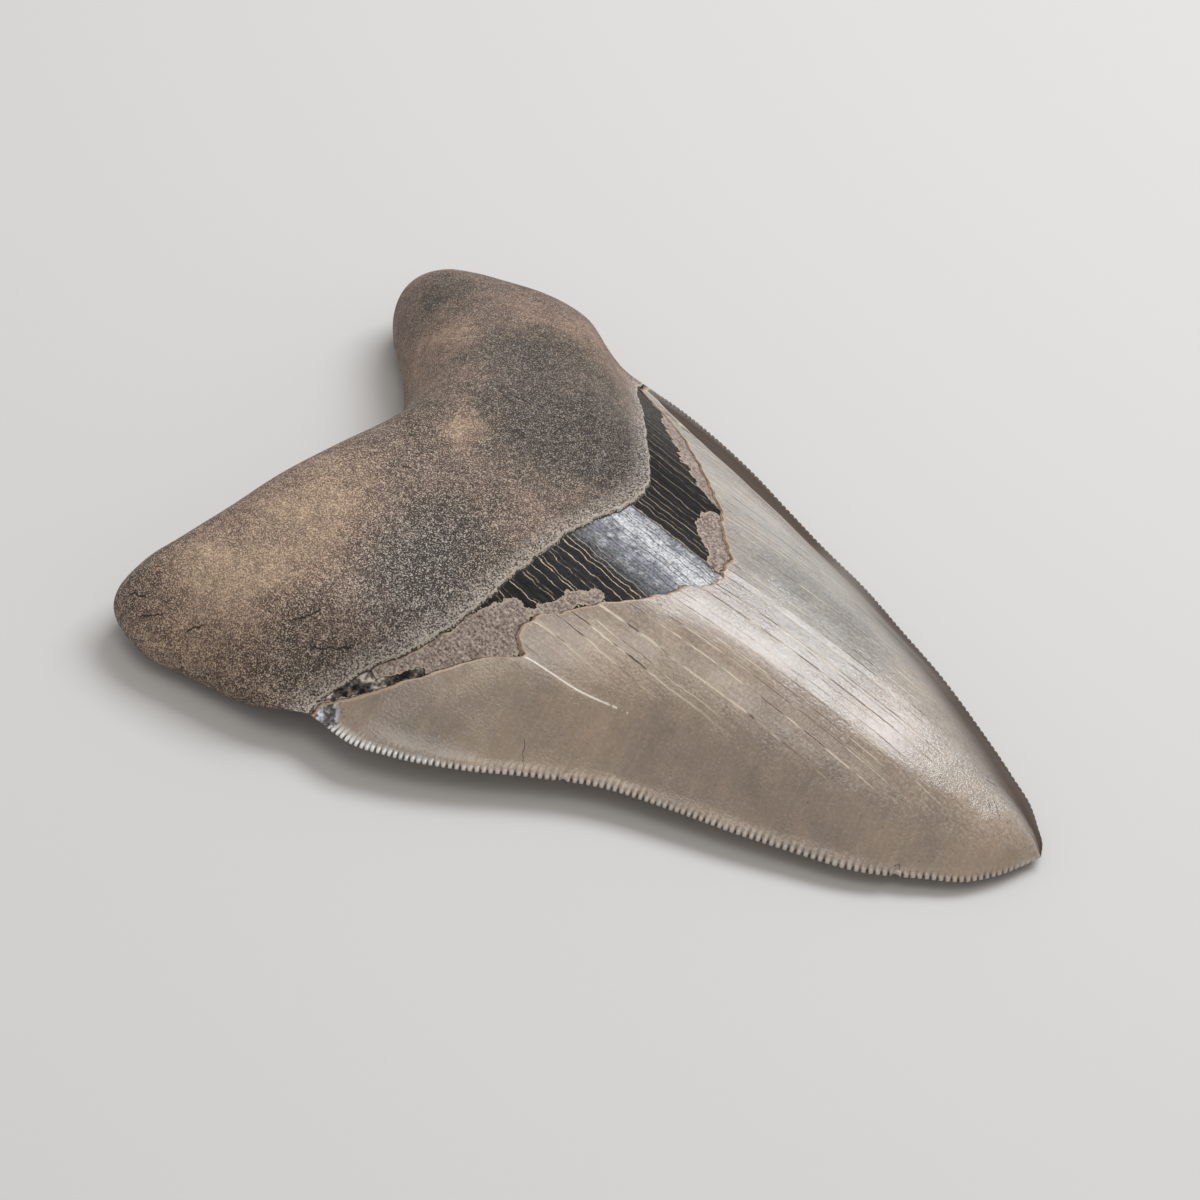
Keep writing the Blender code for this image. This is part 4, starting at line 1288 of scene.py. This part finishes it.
class TOOTH_PT_sidebar(bpy.types.Panel):
    """Lists the makers with what each of them reads"""

    bl_idname = "TOOTH_PT_sidebar"
    bl_label = "Megalodon tooth"
    bl_space_type = "VIEW_3D"
    bl_region_type = "UI"
    bl_category = "Tooth"

    def draw(self, context):
        scene = context.scene
        sizes = (ToothSizes, scene.tooth_sizes)
        colours = (ToothColours, scene.tooth_colours)
        self.list_maker(TOOTH_OT_model, sizes, colours)
        self.list_maker(TOOTH_OT_stage, (StageSettings, scene.tooth_stage))

    def list_maker(self, operator, *groups):
        """One operator's button, and under it the settings that it reads."""
        box = self.layout.box()
        box.operator(operator.bl_idname)
        for kind, group in groups:
            for name in kind.__annotations__:
                box.prop(group, name)


# ---- stage ---------------------------------------------------------------------------------------
CAMERA_TARGET = (14.006, 1.056, 5.0)  # mm in the frame, on the crown's middle
VIEW_OFFSET = (-0.02679, 0.01645)  # the view's middle, right of and above the target, by distance
SENSOR = 36.0  # mm
FLOOR_SIZE = 6.0  # m
FLOOR_GAP = 0.05 * MM  # keeps the floor's face clear of the flat parts that rest on it


def lay_floor(stage):
    """A wide sheet of pale studio paper, matt and without grain, under the tooth."""
    bpy.ops.object.select_all(action="DESELECT")
    bpy.ops.mesh.primitive_plane_add(size=FLOOR_SIZE, location=(0, 0, -FLOOR_GAP))
    floor = bpy.context.object
    floor.name = "floor"
    paper = Finish("matt_studio_paper")
    paper.shader.inputs["Base Color"].default_value = stage.floor
    paper.shader.inputs["Roughness"].default_value = 0.9
    floor.data.materials.append(paper.material)


def add_softbox(scene, name, toward, distance, length, width, radiance, colour):
    """A soft rectangular light that looks at the tooth, given by the radiance of its face."""
    light = bpy.data.lights.new(name, "AREA")
    light.shape = "RECTANGLE"
    light.size = length
    light.size_y = width
    light.energy = radiance * pi * length * width
    light.color = linear(colour)[:3]
    lamp = bpy.data.objects.new(name, light)
    scene.collection.objects.link(lamp)
    back = Vector(toward).normalized()
    side = Vector((0, 1, 0)).cross(back).normalized()
    turn = Matrix((side, back.cross(side), back)).transposed().to_4x4()
    lamp.matrix_world = Matrix.Translation(back * distance) @ turn


def set_lights(scene, stage):
    """A large softbox behind the tooth, a weaker one overhead, and even light all round."""
    add_softbox(
        scene, "softbox", toward=(0.08, 0.525, 0.85), distance=0.9, length=0.62, width=0.4,
        radiance=stage.softbox, colour="F5F9FF",
    )
    add_softbox(
        scene, "overhead", toward=(0.1, -0.25, 0.96), distance=1.1, length=0.5, width=0.45,
        radiance=stage.overhead, colour="FFFBF5",
    )
    room = bpy.data.worlds.new("studio")
    scene.world = room
    room.use_nodes = True
    room.node_tree.nodes["Background"].inputs["Color"].default_value = linear("F1F2F5")
    room.node_tree.nodes["Background"].inputs["Strength"].default_value = stage.room
    scene.view_settings.view_transform = "Standard"


def set_camera(scene, stage):
    """The camera, turned about its line of sight and looking a little past the crown's middle."""
    azimuth, elevation, roll = stage.azimuth, stage.elevation, stage.roll
    toward = Vector((sin(azimuth) * cos(elevation), -cos(azimuth) * cos(elevation), sin(elevation)))
    level = Vector((0, 0, 1)).cross(toward).normalized()
    upright = toward.cross(level)
    right = cos(roll) * level + sin(roll) * upright
    up = cos(roll) * upright - sin(roll) * level
    forward = (VIEW_OFFSET[0] * right + VIEW_OFFSET[1] * up - toward).normalized()
    right = (right - right.dot(forward) * forward).normalized()
    up = right.cross(forward)
    data = bpy.data.cameras.new("camera")
    data.sensor_width = SENSOR
    data.lens = stage.lens
    camera = bpy.data.objects.new("camera", data)
    scene.collection.objects.link(camera)
    turn = Matrix((right, up, -forward)).transposed().to_4x4()
    place = Vector(CAMERA_TARGET) * MM + stage.distance * toward
    camera.matrix_world = Matrix.Translation(place) @ turn
    scene.camera = camera


CLASSES = (ToothSizes, ToothColours, StageSettings, TOOTH_OT_model, TOOTH_OT_stage, TOOTH_PT_sidebar)


def register():
    """Adds the settings, the operators and the panel."""
    for each in CLASSES:
        bpy.utils.register_class(each)
    bpy.types.Scene.tooth_sizes = PointerProperty(type=ToothSizes)
    bpy.types.Scene.tooth_colours = PointerProperty(type=ToothColours)
    bpy.types.Scene.tooth_stage = PointerProperty(type=StageSettings)


def unregister():
    """Takes them away again."""
    del bpy.types.Scene.tooth_sizes
    del bpy.types.Scene.tooth_colours
    del bpy.types.Scene.tooth_stage
    for each in reversed(CLASSES):
        bpy.utils.unregister_class(each)


def main():
    """Makes the tooth and its stage."""
    register()
    bpy.ops.tooth.model()
    bpy.ops.tooth.stage()


if __name__ == "__main__":
    main()
